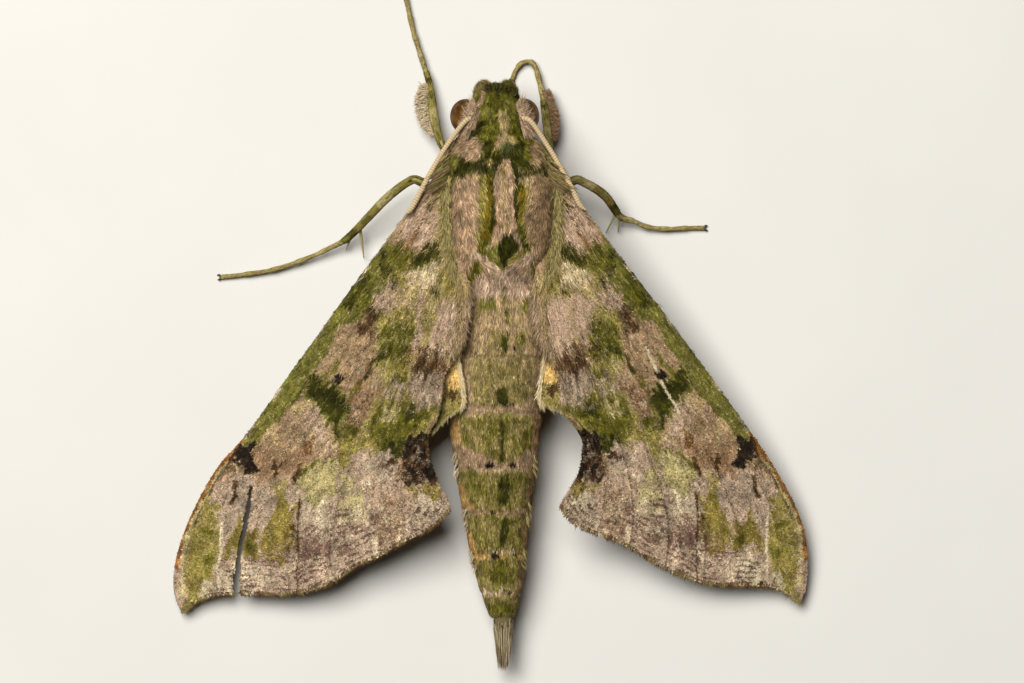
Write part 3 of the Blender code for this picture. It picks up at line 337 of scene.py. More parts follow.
# Forewing markings on the left wing, in the order they are laid: kind, colour, strength,
# softness in steps, and the shape. The right wing takes them at the same share along and across.
FOREWING_MARKS = (
    ("area", "field", 1.0, 10, ((236, 476), (300, 474), (340, 455), (366, 455), (402, 474), (442, 486),
     (460, 505), (400, 565), (300, 615), (165, 632), (168, 560), (205, 490))),
    ("area", "pale_pink", 0.9, 8, ((366, 470), (440, 486), (436, 506), (400, 510), (366, 500))),
    ("area", "buff", 1.0, 8, ((396, 264), (445, 258), (475, 285), (470, 345), (440, 350), (420, 335),
     (412, 300), (396, 292))),
    ("area", "pale_pink", 0.8, 6, ((440, 296), (472, 288), (468, 340), (446, 352), (428, 346),
     (434, 326))),
    ("band", "pale_pink", 0.9, 3, ((426, 286), (419, 310), (417, 345)), 7.0),
    ("area", "cream", 0.6, 5, ((408, 268), (440, 260), (441, 282), (424, 290), (410, 284))),
    ("area", "olive", 0.75, 7, ((364, 258), (384, 248), (412, 262), (410, 284), (388, 286), (366, 280))),
    ("area", "grass", 1.1, 3, ((392, 232), (340, 300), (297, 362), (240, 438), (254, 444), (290, 408),
     (316, 364), (345, 324), (362, 316), (376, 300), (392, 280), (404, 258))),
    ("area", "green", 0.8, 6, ((350, 284), (372, 260), (378, 288), (368, 306), (346, 312), (338, 306))),
    ("area", "dark_green", 0.9, 5, ((342, 296), (358, 291), (359, 308), (346, 311))),
    ("area", "dark_green", 0.75, 5, ((356, 276), (368, 268), (370, 290), (358, 290))),
    ("area", "olive", 0.9, 4, ((440, 172), (456, 172), (458, 286), (448, 290), (443, 250), (443, 200))),
    ("area", "pale_pink", 0.7, 4, ((402, 216), (424, 190), (441, 198), (441, 240), (426, 246),
     (402, 238))),
    ("spot", "dark_green", 1.0, 2, (434, 201), (5, 4)),
    ("band", "umber", 0.9, 2, ((428, 212), (421, 228), (411, 238)), 3.0),
    ("band", "rust", 1.0, 2, ((424, 226), (417, 234), (410, 240)), 4.0),
    ("band", "umber", 0.7, 3, ((412, 204), (400, 219), (388, 236)), 5.0),
    ("area", "green", 0.9, 6, ((384, 248), (402, 238), (412, 247), (426, 245), (441, 239), (442, 258),
     (428, 262), (414, 272), (400, 276), (390, 268))),
    ("area", "dark_green", 0.7, 5, ((408, 252), (418, 246), (430, 241), (442, 240), (442, 256), (424, 260),
     (410, 264))),
    ("band", "dark_green", 0.85, 4, ((383, 251), (387, 272)), 7.0),
    ("spot", "dark_green", 0.8, 4, (394, 284), (5, 7)),
    ("spot", "dark_green", 0.9, 3, (438, 289), (5, 5)),
    ("spot", "green", 0.9, 3, (444, 275), (4, 4)),
    ("spot", "olive", 0.6, 5, (428, 322), (8, 14)),
    ("area", "pale_pink", 1.0, 4, ((376, 286), (392, 288), (406, 296), (404, 304), (392, 308), (380, 311),
     (372, 300))),
    ("area", "umber", 0.72, 5, ((360, 309), (374, 299), (381, 308), (395, 307), (394, 314), (384, 321),
     (380, 330), (382, 344), (374, 349), (366, 332), (358, 318))),
    ("area", "olive", 0.9, 6, ((380, 312), (404, 300), (416, 312), (416, 340), (414, 356), (402, 370),
     (388, 380), (374, 366), (378, 345))),
    ("area", "green", 0.95, 6, ((384, 326), (400, 318), (414, 322), (414, 338), (410, 354), (398, 362),
     (384, 364), (378, 358), (381, 342))),
    ("spot", "dark_green", 0.6, 6, (393, 352), (13, 8)),
    ("spot", "dark_green", 0.45, 6, (400, 333), (10, 8)),
    ("area", "dim_pink", 1.0, 4, ((314, 370), (342, 328), (358, 318), (378, 350), (382, 357), (366, 373),
     (352, 394), (336, 397), (328, 384))),
    ("band", "green", 0.9, 3, ((326, 375), (334, 367), (342, 360)), 7.0),
    ("band", "brown", 0.8, 4, ((380, 356), (364, 378), (352, 396)), 6.0),
    ("band", "dark_green", 0.8, 4, ((388, 350), (374, 366), (366, 380)), 6.0),
    ("band", "green", 0.9, 4, ((356, 388), (348, 406), (341, 436)), 6.0),
    ("area", "rose", 0.85, 6, ((362, 386), (378, 376), (388, 384), (376, 408), (366, 428), (352, 424),
     (346, 410), (354, 396))),
    ("band", "umber", 0.6, 3, ((372, 388), (362, 404), (352, 420)), 3.0),
    ("area", "olive", 0.9, 7, ((372, 398), (392, 376), (404, 362), (416, 366), (410, 392), (430, 394),
     (440, 408), (430, 424), (426, 438), (408, 440), (402, 456), (388, 460), (374, 450), (364, 438),
     (366, 420))),
    ("area", "green", 0.9, 6, ((376, 404), (392, 396), (408, 398), (428, 402), (434, 412), (424, 426),
     (412, 434), (404, 446), (398, 458), (386, 458), (376, 448), (372, 430))),
    ("area", "dark_green", 0.7, 5, ((382, 446), (404, 438), (402, 456), (390, 460), (380, 454))),
    ("spot", "dark_green", 0.75, 5, (412, 412), (12, 9)),
    ("spot", "green", 0.9, 4, (400, 376), (6, 10)),
    ("spot", "straw", 0.6, 5, (390, 409), (10, 8)),
    ("spot", "straw", 0.5, 6, (388, 372), (9, 8)),
    ("spot", "lilac", 0.8, 4, (390, 388), (8, 6)),
    ("area", "umber", 0.72, 6, ((416, 350), (430, 343), (448, 346), (452, 360), (446, 378), (434, 386),
     (421, 388), (412, 372))),
    ("area", "lilac", 0.6, 6, ((408, 368), (422, 374), (444, 376), (447, 394), (436, 404), (414, 404),
     (407, 388))),
    ("area", "grass", 0.9, 5, ((302, 372), (318, 374), (334, 381), (340, 393), (350, 398), (349, 410),
     (344, 438), (334, 430), (324, 414), (310, 404), (302, 391))),
    ("area", "dark_green", 1.05, 4, ((307, 379), (318, 377), (331, 383), (337, 395), (347, 398),
     (346, 410), (342, 432), (336, 426), (326, 410), (315, 401), (308, 391))),
    ("dot", "black", 1.0, 0.8, (340, 376.5), (5.0, 5.6)),
    ("area", "pale_pink", 0.7, 7, ((302, 402), (318, 404), (334, 428), (334, 452), (312, 440),
     (300, 420))),
    ("area", "rose", 0.75, 9, ((256, 440), (300, 444), (316, 456), (304, 480), (250, 482))),
    ("area", "black", 0.95, 3, ((236, 446), (252, 440), (258, 450), (253, 462), (256, 476), (246, 474),
     (242, 462), (232, 458))),
    ("area", "umber", 0.6, 4, ((222, 462), (238, 462), (240, 478), (228, 480))),
    ("spot", "umber", 0.9, 3, (279, 466), (4, 9)),
    ("spot", "brown", 1.0, 3, (309, 447), (5, 8)),
    ("spot", "umber", 0.9, 3, (303, 471), (3, 7)),
    ("spot", "umber", 0.8, 4, (235, 492), (5, 9)),
    ("area", "straw", 1.1, 5, ((303, 474), (310, 462), (322, 457), (337, 458), (339, 470), (337, 499),
     (320, 506), (304, 502))),
    ("band", "green", 0.8, 3, ((306, 472), (314, 462), (326, 456), (340, 458)), 4.5),
    ("area", "olive", 1.0, 4, ((341, 446), (350, 422), (362, 424), (368, 440), (364, 454), (352, 458),
     (342, 470))),
    ("spot", "green", 0.9, 4, (352, 428), (8, 6)),
    ("area", "cream", 0.6, 7, ((300, 503), (337, 500), (338, 524), (318, 528), (302, 524))),
    ("area", "straw", 0.55, 5, ((340, 474), (366, 480), (367, 522), (340, 522))),
    ("area", "lilac", 0.85, 4, ((366, 450), (378, 446), (400, 462), (398, 474), (384, 472), (366, 470))),
    ("spot", "umber", 0.7, 4, (388, 465), (12, 5)),
    ("spot", "cream", 0.75, 8, (424, 504), (17, 9)),
    ("area", "black", 1.0, 4, ((401, 443), (411, 434), (426, 434), (433, 450), (434, 470), (441, 484),
     (424, 478), (410, 482), (400, 484), (404, 462))),
    ("spot", "umber", 0.4, 9, (414, 458), (10, 11)),
    ("spot", "rose", 0.4, 7, (408, 474), (8, 7)),
    ("area", "khaki", 0.8, 4, ((404, 484), (432, 480), (442, 493), (432, 497), (420, 491), (404, 489))),
    ("area", "mauve", 0.85, 7, ((296, 534), (346, 528), (350, 552), (300, 560))),
    ("area", "rose", 0.8, 8, ((374, 500), (402, 498), (402, 548), (378, 548))),
    ("area", "khaki", 1.0, 5, ((281, 492), (292, 497), (300, 522), (284, 524), (270, 522))),
    ("area", "khaki", 0.9, 6, ((270, 520), (300, 518), (298, 544), (286, 557), (264, 560), (260, 550))),
    ("area", "umber", 0.6, 4, ((290, 522), (300, 520), (299, 552), (288, 550))),
    ("spot", "ochre", 0.8, 6, (285, 487), (9, 9)),
    ("area", "khaki", 1.0, 5, ((240, 520), (262, 530), (260, 552), (250, 559), (240, 556), (228, 554),
     (222, 564), (224, 546))),
    ("spot", "green", 0.7, 5, (250, 548), (8, 8)),
    ("area", "ochre", 1.0, 7, ((206, 492), (220, 506), (220, 562), (212, 584), (200, 612), (180, 616),
     (179, 588), (182, 558), (192, 528))),
    ("area", "olive", 0.9, 6, ((204, 498), (214, 504), (216, 520), (205, 520))),
    ("area", "olive", 1.0, 7, ((198, 524), (214, 526), (216, 566), (204, 578), (196, 600), (184, 600),
     (184, 572), (192, 545))),
    ("spot", "green", 0.7, 6, (208, 560), (9, 9)),
    ("spot", "green", 0.6, 6, (207, 530), (7, 9)),
    ("spot", "brown", 0.35, 5, (188, 584), (4, 8)),
    ("spot", "straw", 0.9, 4, (191, 605), (6, 7)),
    ("area", "lilac", 0.8, 5, ((238, 484), (250, 480), (251, 517), (240, 520))),
    ("area", "lilac", 0.7, 6, ((256, 482), (274, 480), (276, 512), (262, 524))),
    ("area", "lilac", 0.8, 6, ((216, 512), (240, 512), (236, 532), (222, 540), (214, 528))),
    ("area", "cream", 0.8, 5, ((224, 566), (258, 560), (259, 594), (222, 596))),
    ("area", "lilac", 0.9, 3, ((249, 562), (259, 560), (259, 590), (248, 590))),
    ("area", "cream", 0.7, 5, ((196, 582), (214, 574), (216, 598), (200, 602))),
    ("area", "ochre", 1.0, 5, ((180, 602), (202, 602), (198, 610), (182, 624))),
)

# Fine lines along the wing's edges and between its patches, laid over the wavy bars.
OUTER_LINES = (
    ("band", "lilac", 0.85, 2, ((335, 502), (334, 540), (334, 586)), 5.0),
    ("band", "cream", 0.8, 2, ((374, 536), (377, 560)), 6.0),
    ("band", "cream", 0.9, 1.5, ((222, 522), (219, 560), (217, 598)), 3.0),
    ("band", "umber", 0.75, 1.5, ((300, 500), (298, 545), (297, 598)), 2.2),
    ("band", "umber", 0.6, 1.5, ((260, 556), (259, 598)), 1.8),
    ("band", "umber", 0.8, 1.5, ((240, 448), (222, 471), (206, 500), (196, 522)), 2.2),
    ("band", "mauve", 0.9, 1.5, ((236, 446), (216, 472), (200, 502), (190, 530)), 2.4),
    ("band", "straw", 0.7, 2.5, ((229, 456), (212, 482), (196, 512), (186, 540), (180, 572), (180, 596)),
     4.5),
    ("band", "rust", 1.0, 1.2, ((243, 439), (220, 465), (199, 500), (183, 536), (176, 565)), 4.0),
    ("band", "brown", 0.5, 2, ((176, 565), (175, 588)), 3.0),
    ("band", "cream", 0.8, 1, ((385, 243), (345, 297), (300, 360), (245, 436)), 2.6),
    ("band", "black", 0.55, 1, ((385, 243), (345, 297), (300, 360), (245, 436)), 3.6),
)

# Places of the left wing with a fine pattern of their own: outline, and colours with strength and seed.
SPECKLED_FIELDS = (
    (((402, 370), (446, 372), (442, 404), (410, 410), (392, 398), (394, 374)),
     (("lilac", 0.75, 71), ("umber", 0.4, 72))),
    (((404, 342), (446, 346), (446, 370), (402, 370)), (("umber", 0.8, 85),)),
    (((344, 428), (352, 400), (376, 372), (388, 380), (372, 412), (360, 436)),
     (("lilac", 0.5, 75), ("umber", 0.4, 76))),
    (((380, 268), (440, 262), (444, 300), (396, 312)), (("pale_pink", 0.45, 77), ("olive", 0.5, 78))),
    (((401, 440), (436, 434), (441, 488), (396, 486)), (("umber", 0.8, 79), ("lilac", 0.35, 80))),
    (((366, 455), (402, 474), (400, 500), (350, 495)), (("cream", 0.5, 81), ("umber", 0.3, 82))),
    (((372, 300), (430, 290), (440, 345), (372, 372)), (("dark_green", 0.4, 83), ("straw", 0.3, 84))),
)

# The field of wavy bars: its outline, the steps from bar to bar, and the blotches that shift the
# bars, as (how many bars, size, seed).
BARRED_FIELD = (
    (262, 552), (300, 528), (338, 504), (366, 498), (440, 500), (456, 512),
    (400, 565), (330, 606), (240, 606), (222, 600), (224, 566),
)
BAR_FIELD_SOFTNESS = 9
BAR_PITCH = 5.4
BAR_WAVES = ((1.4, 22, 7), (0.6, 7, 9))

# Marks of the right forewing alone, where they are seen.
RIGHT_MARKS = (
    ("area", "pale_pink", 0.6, 9, ((545, 292), (575, 290), (594, 300), (590, 328), (570, 342),
     (545, 338))),
    ("band", "cream", 1.1, 0.8, ((645, 346), (652, 362), (661, 382), (678, 411)), 2.4),
    ("dot", "black", 1.0, 0.8, (661, 373), (4.6, 4.0)),
)

# Hindwing: only its rear inner corner shows past the forewing.
HINDWING_MARKS = (
    ("area", "orange", 1.3, 3, ((440, 340), (466, 340), (470, 382), (462, 388), (446, 388), (440, 380))),
    ("area", "ochre", 1.1, 5, ((420, 388), (446, 386), (470, 384), (478, 414), (440, 440), (420, 440))),
    ("spot", "umber", 0.7, 5, (452, 394), (9, 6)),
    ("area", "olive", 0.6, 5, ((430, 404), (468, 400), (468, 412), (434, 430))),
)

# The hindwing's rust glow: softness, line and width.
HINDWING_GLOW = (10, ((440, 330), (380, 440), (320, 492)), 30.0)

# Body markings where they are seen, from the head back.
BODY_MARKS = (
    ("area", "green", 1.1, 4, ((478, 78), (522, 78), (524, 100), (521, 118), (528, 134), (532, 160),
     (484, 160), (484, 140), (476, 134), (481, 118), (480, 100))),
    ("area", "grass", 0.9, 3, ((466, 78), (487, 78), (485, 90), (482, 102), (468, 104))),
    ("band", "pink", 0.8, 2, ((474, 82), (484, 88), (482, 102)), 4.0),
    ("band", "dark_green", 0.9, 3, ((488, 89), (510, 89), (518, 93)), 8.0),
    ("area", "pink", 1.1, 3, ((440, 100), (480, 101), (482, 112), (480, 124), (470, 134), (440, 134))),
    ("area", "pink", 1.1, 3, ((523, 101), (548, 100), (552, 140), (534, 136), (522, 122))),
    ("area", "pink", 1.1, 3, ((440, 126), (468, 126), (474, 134), (478, 142), (483, 150), (481, 157),
     (472, 156), (458, 152), (446, 160), (432, 160))),
    # The right side of the collar is laid in a dimmer pink than the left: painted shade of the side away
    # from the light.
    ("area", "dim_pink", 1.1, 3, ((528, 122), (550, 130), (566, 162), (548, 155), (540, 162), (532, 158),
     (527, 148), (532, 140))),
    ("spot", "grass", 0.8, 4, (512, 105), (8, 8)),
    ("spot", "grass", 0.6, 4, (490, 112), (6, 10)),
    ("band", "dark_green", 1.1, 1.5, ((486, 120), (479, 128), (471, 136)), 4.5),
    ("band", "dark_green", 1.1, 1.5, ((519, 125), (526, 131), (532, 137)), 4.0),
    ("area", "buff", 1.0, 2.5, ((498, 107), (506, 107), (508, 126), (516, 146), (511, 147), (504, 138),
     (500, 146), (495, 146), (500, 130), (499, 118))),
    ("band", "pink", 0.9, 1.5, ((502, 133), (499, 138), (497, 144)), 5.0),
    ("area", "teal", 1.1, 2, ((501, 141), (506, 140), (513, 147), (515, 157), (504, 158), (500, 150))),
    ("spot", "dark_green", 0.8, 3, (489, 144), (6, 8)),
    ("spot", "dark_green", 0.8, 3, (518, 147), (6, 9)),
    ("area", "dark_green", 0.75, 3, ((450, 163), (458, 154), (470, 158), (482, 158), (488, 148),
     (520, 150), (526, 159), (536, 164), (543, 158), (552, 163), (554, 180), (544, 175), (536, 172),
     (528, 174), (516, 178), (510, 168), (497, 168), (494, 180), (486, 177), (476, 172), (468, 173),
     (456, 177), (448, 187))),
    ("area", "grass", 1.0, 3, ((444, 162), (455, 153), (461, 158), (457, 168), (450, 174), (442, 190),
     (436, 184))),
    ("area", "olive", 1.0, 3, ((543, 154), (553, 157), (558, 172), (551, 177), (545, 168))),
    ("area", "olive", 1.1, 3, ((452, 174), (444, 182), (440, 200), (440, 292), (453, 292), (453, 250),
     (450, 215), (451, 190))),
    ("area", "olive", 1.0, 4, ((551, 178), (562, 186), (564, 292), (551, 292), (551, 230))),
    ("band", "green", 0.9, 3, ((452, 173), (444, 188)), 6.0),
    ("band", "green", 1.0, 3, ((552, 176), (561, 196)), 6.0),
    ("spot", "dark_green", 1.2, 2, (563, 200), (4.5, 5)),
    ("area", "pink", 1.1, 3, ((454, 179), (462, 175), (472, 176), (477, 186), (476, 215), (477, 235),
     (474, 250), (470, 262), (466, 280), (459, 280), (455, 262), (452, 240), (451, 200))),
    # The right tegula is laid in a dimmer pink than the left: painted shade of the side away from the
    # light.
    ("area", "dim_pink", 1.1, 3, ((529, 179), (540, 176), (549, 181), (551, 210), (550, 260), (546, 284),
     (538, 280), (533, 262), (531, 250), (528, 215))),
    ("area", "olive", 1.1, 3, ((477, 176), (488, 172), (488, 200), (487, 235), (478, 248), (474, 240),
     (477, 215))),
    ("area", "olive", 1.0, 3, ((523, 178), (529, 182), (528, 215), (530, 245), (525, 240), (522, 215))),
    ("area", "pink", 1.1, 2, ((503, 157), (509, 160), (513, 178), (515, 200), (516, 216), (520, 232),
     (524, 246), (520, 252), (488, 252), (489, 236), (494, 216), (494, 200), (493, 182), (496, 168))),
    ("band", "olive", 0.5, 4, ((503, 165), (505, 200), (504, 228)), 6.0),
    ("area", "gold", 1.1, 2, ((485, 174), (494, 172), (494, 200), (495, 214), (490, 236), (485, 250),
     (474, 250), (478, 238), (484, 214), (485, 195))),
    ("band", "dark_green", 1.1, 1.5, ((493, 170), (492.5, 190), (492.5, 212), (488, 232)), 4.0),
    ("area", "green", 1.0, 2.5, ((480, 238), (489, 238), (485, 250), (474, 251))),
    ("area", "dark_green", 1.0, 2, ((512, 164), (519, 168), (521, 190), (522, 214), (527, 232), (531, 250),
     (524, 251), (520, 236), (517, 216), (515, 198), (514, 180))),
    ("band", "gold", 1.1, 1.5, ((522, 182), (523, 200), (522, 217)), 4.0),
    ("band", "green", 0.8, 2, ((519, 217), (524, 232)), 4.0),
    ("area", "green", 1.1, 1.5, ((474, 250), (479, 252), (480, 262), (478, 272), (470, 279), (465, 279),
     (469, 268), (474, 260))),
    ("band", "gold", 1.0, 1.5, ((477, 252), (472, 262), (469, 268)), 2.5),
    ("band", "green", 1.1, 1.2, ((531.5, 250), (532, 262), (535, 270)), 3.5),
    ("spot", "green", 1.1, 1.5, (535, 273), (4.5, 3.5)),
    ("area", "grass", 1.1, 3, ((484, 249), (500, 238), (505, 262), (498, 263), (488, 259))),
    ("area", "olive", 1.1, 3, ((514, 240), (530, 251), (524, 259), (510, 263))),
    ("area", "dark_green", 1.3, 2, ((498, 240), (503, 233), (508, 230), (514, 234), (519, 241), (519, 250),
     (513, 254), (509, 264), (505, 264), (500, 253), (498, 247))),
    ("band", "pale_pink", 1.2, 1.5, ((476, 251), (487, 262), (498, 268), (508, 268)), 6.5),
    ("band", "pale_pink", 1.2, 1.5, ((532, 252), (525, 262), (516, 268), (508, 268)), 6.5),
    # The rump's hair in pale pink: its own pink, painted lighter to make up for the shade on its slope that
    # faces back, away from the light.
    ("area", "pale_pink", 1.1, 4, ((478, 270), (536, 270), (542, 286), (536, 294), (468, 294),
     (464, 286))),
    ("area", "grass", 0.8, 4, ((472, 297), (494, 292), (496, 307), (480, 310))),
    ("band", "green", 0.8, 2, ((504, 285), (503, 299)), 4.0),
    ("band", "green", 0.8, 2, ((506, 306), (508, 320)), 4.0),
    ("spot", "grass", 0.8, 4, (526, 302), (6, 7)),
    ("area", "green", 0.65, 5, ((488, 328), (508, 330), (509, 350), (486, 350))),
    ("band", "dark_green", 0.8, 3, ((507, 332), (505, 350)), 5.0),
    ("spot", "green", 0.65, 4, (520, 338), (6, 9)),
    ("dot", "black", 1.0, 0.6, (514.5, 346.5), (1.7, 1.7)),
    ("area", "moss", 0.4, 12, ((474, 352), (528, 352), (530, 400), (478, 400))),
    ("area", "pink", 0.65, 8, ((448, 318), (466, 318), (472, 366), (474, 402), (448, 402))),
    ("area", "pink", 0.65, 8, ((538, 318), (554, 318), (552, 402), (530, 402), (533, 366))),
    ("spot", "dark_green", 0.95, 4, (503, 394), (6, 11)),
    ("spot", "dark_green", 1.1, 2.5, (513, 405), (7, 4)),
    ("area", "apricot", 0.9, 5, ((446, 410), (458, 412), (462, 464), (444, 466))),
    ("area", "apricot", 0.85, 5, ((450, 476), (462, 478), (470, 500), (482, 512), (452, 514))),
    ("area", "apricot", 0.9, 4, ((458, 524), (470, 528), (476, 546), (492, 556), (462, 560))),
    ("area", "under", 0.7, 5, ((532, 410), (548, 410), (543, 470), (536, 515), (528, 555), (522, 592),
     (514, 592), (521, 545), (526, 500), (531, 450))),
    ("band", "dark_green", 0.85, 3, ((502, 422), (502, 458)), 5.0),
    ("spot", "dark_green", 0.9, 6, (504, 488), (7, 17)),
    ("spot", "dark_green", 0.85, 5, (503.5, 530), (5, 14)),
    ("spot", "green", 0.8, 5, (502, 572), (14, 11)),
    ("spot", "green", 0.8, 5, (500, 606), (10, 8)),
)

# Pale rear edges and dark dots of the abdomen's segments.
SEGMENT_MARKS = (
    ("area", "pink", 1.1, 4, ((452, 398), (478, 402), (500, 406), (524, 402), (544, 398), (544, 412),
     (452, 412))),
    ("area", "pink", 1.2, 4, ((450, 438), (464, 444), (478, 452), (498, 461), (516, 460), (530, 448),
     (544, 442), (542, 464), (520, 469), (478, 469), (452, 464))),
    ("area", "pink", 0.9, 3, ((458, 504), (480, 508), (500, 509), (520, 508), (532, 504), (532, 513),
     (458, 513))),
    ("area", "apricot", 0.9, 3, ((462, 544), (480, 549), (500, 550), (518, 549), (528, 546), (528, 556),
     (464, 556))),
    ("area", "pink", 0.8, 3, ((474, 585), (500, 589), (524, 586), (522, 594), (478, 594))),
    ("band", "cream", 0.8, 2, ((490, 551), (514, 551)), 3.0),
    ("band", "cream", 0.9, 2, ((484, 590), (506, 590)), 3.4),
    ("dot", "black", 1.0, 1.0, (490, 464), (5.0, 3.6)),
    ("dot", "black", 0.9, 1.0, (512, 463.5), (3.8, 3.2)),
    ("dot", "black", 1.0, 0.8, (493, 511), (3.4, 2.6)),
    ("dot", "black", 1.0, 0.8, (495, 554), (4.6, 3.4)),
    ("dot", "black", 0.9, 0.8, (515, 553), (2.8, 2.4)),
    ("dot", "black", 0.9, 0.8, (510, 591), (2.4, 2.8)),
)


def new_coat(*values):
    """A coat's values by name."""
    names = ("per_mm2", "length", "width", "lift", "vary", "clump", "gaps", "gain")
    return dict(zip(names, values))


# Coats: tufts to a square mm, lengths and widths in mm, how steeply they stand, how much they
# differ, how strongly they gather in clumps, what share is painted dark as the shade in the gaps
# between hairs, and how light they are in all.
WING_COAT = new_coat(165, 0.26, 0.126, 0.05, 0.2, 0.25, 0.05, 0.98)
WING_HAIR = new_coat(70, 0.75, 0.075, 0.06, 0.24, 0.5, 0.12, 1.0)
HIND_COAT = new_coat(100, 0.3, 0.12, 0.06, 0.2, 0.3, 0.05, 1.0)
HEAD_COAT = new_coat(300, 0.42, 0.07, 0.18, 0.32, 1.1, 0.2, 1.08)
THORAX_COAT = new_coat(195, 0.5, 0.075, 0.13, 0.3, 0.9, 0.24, 1.26)
ABDOMEN_COAT = new_coat(150, 0.36, 0.085, 0.1, 0.26, 0.6, 0.14, 1.08)
LEG_COAT = new_coat(100, 0.28, 0.075, 0.07, 0.18, 0.2, 0.06, 1.0)
PALP_COAT = new_coat(230, 0.5, 0.07, 0.22, 0.28, 0.8, 0.16, 1.1)
CLUMP_SIZE = 4.5
# Painted shade in the gaps between hairs: how dark it is, and the share of free hair that takes it.
GAP_SHADE = 0.42
GAP_SHARE = 0.24
LENGTH_SPREAD = 0.18
WIDTH_SPREAD = 0.15
LIFT_SPREAD = 0.35
TUFT_CLEARANCE = 0.02
ROOT_SHADE = 0.8
TIP_LIGHT = 0.28
TUFT_PATCH = 0.003
BODY_UNWRAP = (80, 560)
UPWARD = np.array([0.0, 0.0, 1.0])

# Fringes of the wings: tufts to a mm of edge, lengths and widths in mm, how many grid lines deep
# they grow, how steeply they stand, and how they differ.
FRINGE = {"per_mm": 30, "length": 0.46, "width": 0.085}
INNER_FRINGE = {"per_mm": 26, "length": 0.22, "width": 0.08}
BASE_FRINGE = {"per_mm": 110, "length": 0.9, "width": 0.07, "band": 14.0, "lift": 0.05}
MARGIN_HAIR = {"per_mm": 120, "length": 0.7, "width": 0.08, "band": 1.2, "lift": 0.16}
FRINGE_SWAY = 0.16
FRINGE_DEPTH = 0.06
FRINGE_INSET = 0.12
FRINGE_LENGTH_SPREAD = 0.2
FRINGE_LIFT_SPREAD = 0.06
# How much lighter the hindwing's margin hair is painted, to make up for the body's shade over it.
MARGIN_PAINTED_LIGHT = 1.3
FRINGE_GAIN = 0.85
BASE_END = 0.3
LAST_LINE = 1.001
EDGE_STEPS = 60

# Long hair over the seam between body and wing, as rows and steps from its middle, and at the
# shoulders. Counts are hairs a side.
SEAM_PATH = ((176, 56.0), (190, 56.5), (215, 56.0), (245, 54.5), (265, 51.0), (285, 43.0),
             (305, 39.0), (330, 42.0), (345, 45.0))
SEAM_HAIRS = 2400
SEAM_SPREAD = 1.9
SEAM_LENGTH = 0.85
SEAM_MIDDLE = MIDLINE - 1.0
SEAM_FADE = (268, 290)
SHOULDER_HAIRS = 900
SHOULDER_ROWS = (138, 184)
SHOULDER_LEVEL = 7.4

# How colours are broken up: ragged edges of marks, blotches by size, and streaks from the wing's root.
FLECK_LIGHT = 0.13
COMBED_EDGE = 15.0
DARK_MOTTLE = 0.9
WING_MOTTLE = (0.35, 0.45, 0.4, 0.6)
BODY_MOTTLE = (0.2, 0.4, 0.4, 0.7)
WING_HEART = (476.0, 150.0)
SPECKLE_SOFTNESS = 10
SPECKLE_SIZE = 4.5

# Ground of the abdomen: how ragged it begins, its fades as (share, first row, last row), and the
# rows over which its flanks turn ochre.
ABDOMEN_RAGGED = 14
ABDOMEN_FADES = ((0.6, 340, 372), (0.4, 398, 410))
FLANK_FADE = (285, 330)

# Flecks of single tufts: colour, share of the tufts, and strength.
FOREWING_FLECKS = (("umber", 0.13, 0.65), ("green", 0.05, 0.45), ("cream", 0.08, 0.5))
HINDWING_FLECKS = (("straw", 0.12, 0.5), ("umber", 0.12, 0.5))
BODY_FLECKS = (("umber", 0.05, 0.5), ("green", 0.07, 0.5), ("cream", 0.06, 0.4))

# The body's coat in pieces: name, coat, first and last row, and how far tufts sway.
BODY_COATS = (
    ("head_coat", HEAD_COAT, 80, 146, 0.2),
    ("thorax_front_coat", THORAX_COAT, 138, 218, 0.12),
    ("thorax_rear_coat", THORAX_COAT, 218, 298, 0.12),
    ("abdomen_front_coat", ABDOMEN_COAT, 288, 430, 0.15),
    ("abdomen_rear_coat", ABDOMEN_COAT, 430, 622, 0.15),
)
SIDES = (("left", -1), ("right", 1))

# Tuft shapes: across (in widths), along (in lengths), rise (of the lift), and thickness (in widths).
LOCK = (np.array([
    (-0.5, -0.04, -0.25, 0.0), (0.5, -0.04, -0.25, 0.0), (0.0, -0.04, -0.25, 0.55),
    (-0.42, 0.5, 0.72, 0.0), (0.42, 0.5, 0.72, 0.0), (0.0, 0.5, 0.72, 0.5),
    (0.0, 1.0, 1.0, 0.1),
]), np.array([
    (0, 1, 4), (0, 4, 3), (1, 2, 5), (1, 5, 4), (2, 0, 3), (2, 3, 5),
    (3, 4, 6), (4, 5, 6), (5, 3, 6), (0, 2, 1),
]))
STRAND = (np.array([
    (-0.5, 0.0, -0.2, 0.0), (0.5, 0.0, -0.2, 0.0), (0.0, 0.1, -0.2, -0.5), (0.0, 1.0, 1.0, 0.0),
]), np.array([(0, 1, 3), (1, 2, 3), (2, 0, 3), (0, 2, 1)]))
SCALE = (np.array([
    (0.0, -0.05, -0.5, 0.0), (-0.5, 0.9, 0.85, 0.0), (0.5, 0.9, 0.85, 0.0), (0.0, 0.72, 0.5, -0.26),
]), np.array([(0, 2, 1), (0, 1, 3), (1, 2, 3), (2, 0, 3)]))


def smooth(low, high, value):
    """0 below low, 1 above high, and smooth between."""
    share = np.clip((value - low) / (high - low), 0, 1)
    return share * share * (3 - 2 * share)


def space(column, row, height):
    """Points in metres that are seen over grid places, at heights in mm."""
    column, row, height = np.broadcast_arrays(column, row, height)
    spread = 1 + (VIEW_LEVEL - height) / VIEW_HEIGHT
    x = (VIEW_COLUMN + (column - VIEW_COLUMN) * spread - GRID_COLUMN) * STEP
    y = (GRID_ROW - VIEW_ROW - (row - VIEW_ROW) * spread) * STEP
    return np.stack([x, y, height * MM], -1)


def between(rise, fall, value):
    """1 between two fades, each given by where it begins and ends, and 0 outside them."""
    return smooth(*rise, value) * (1 - smooth(*fall, value))


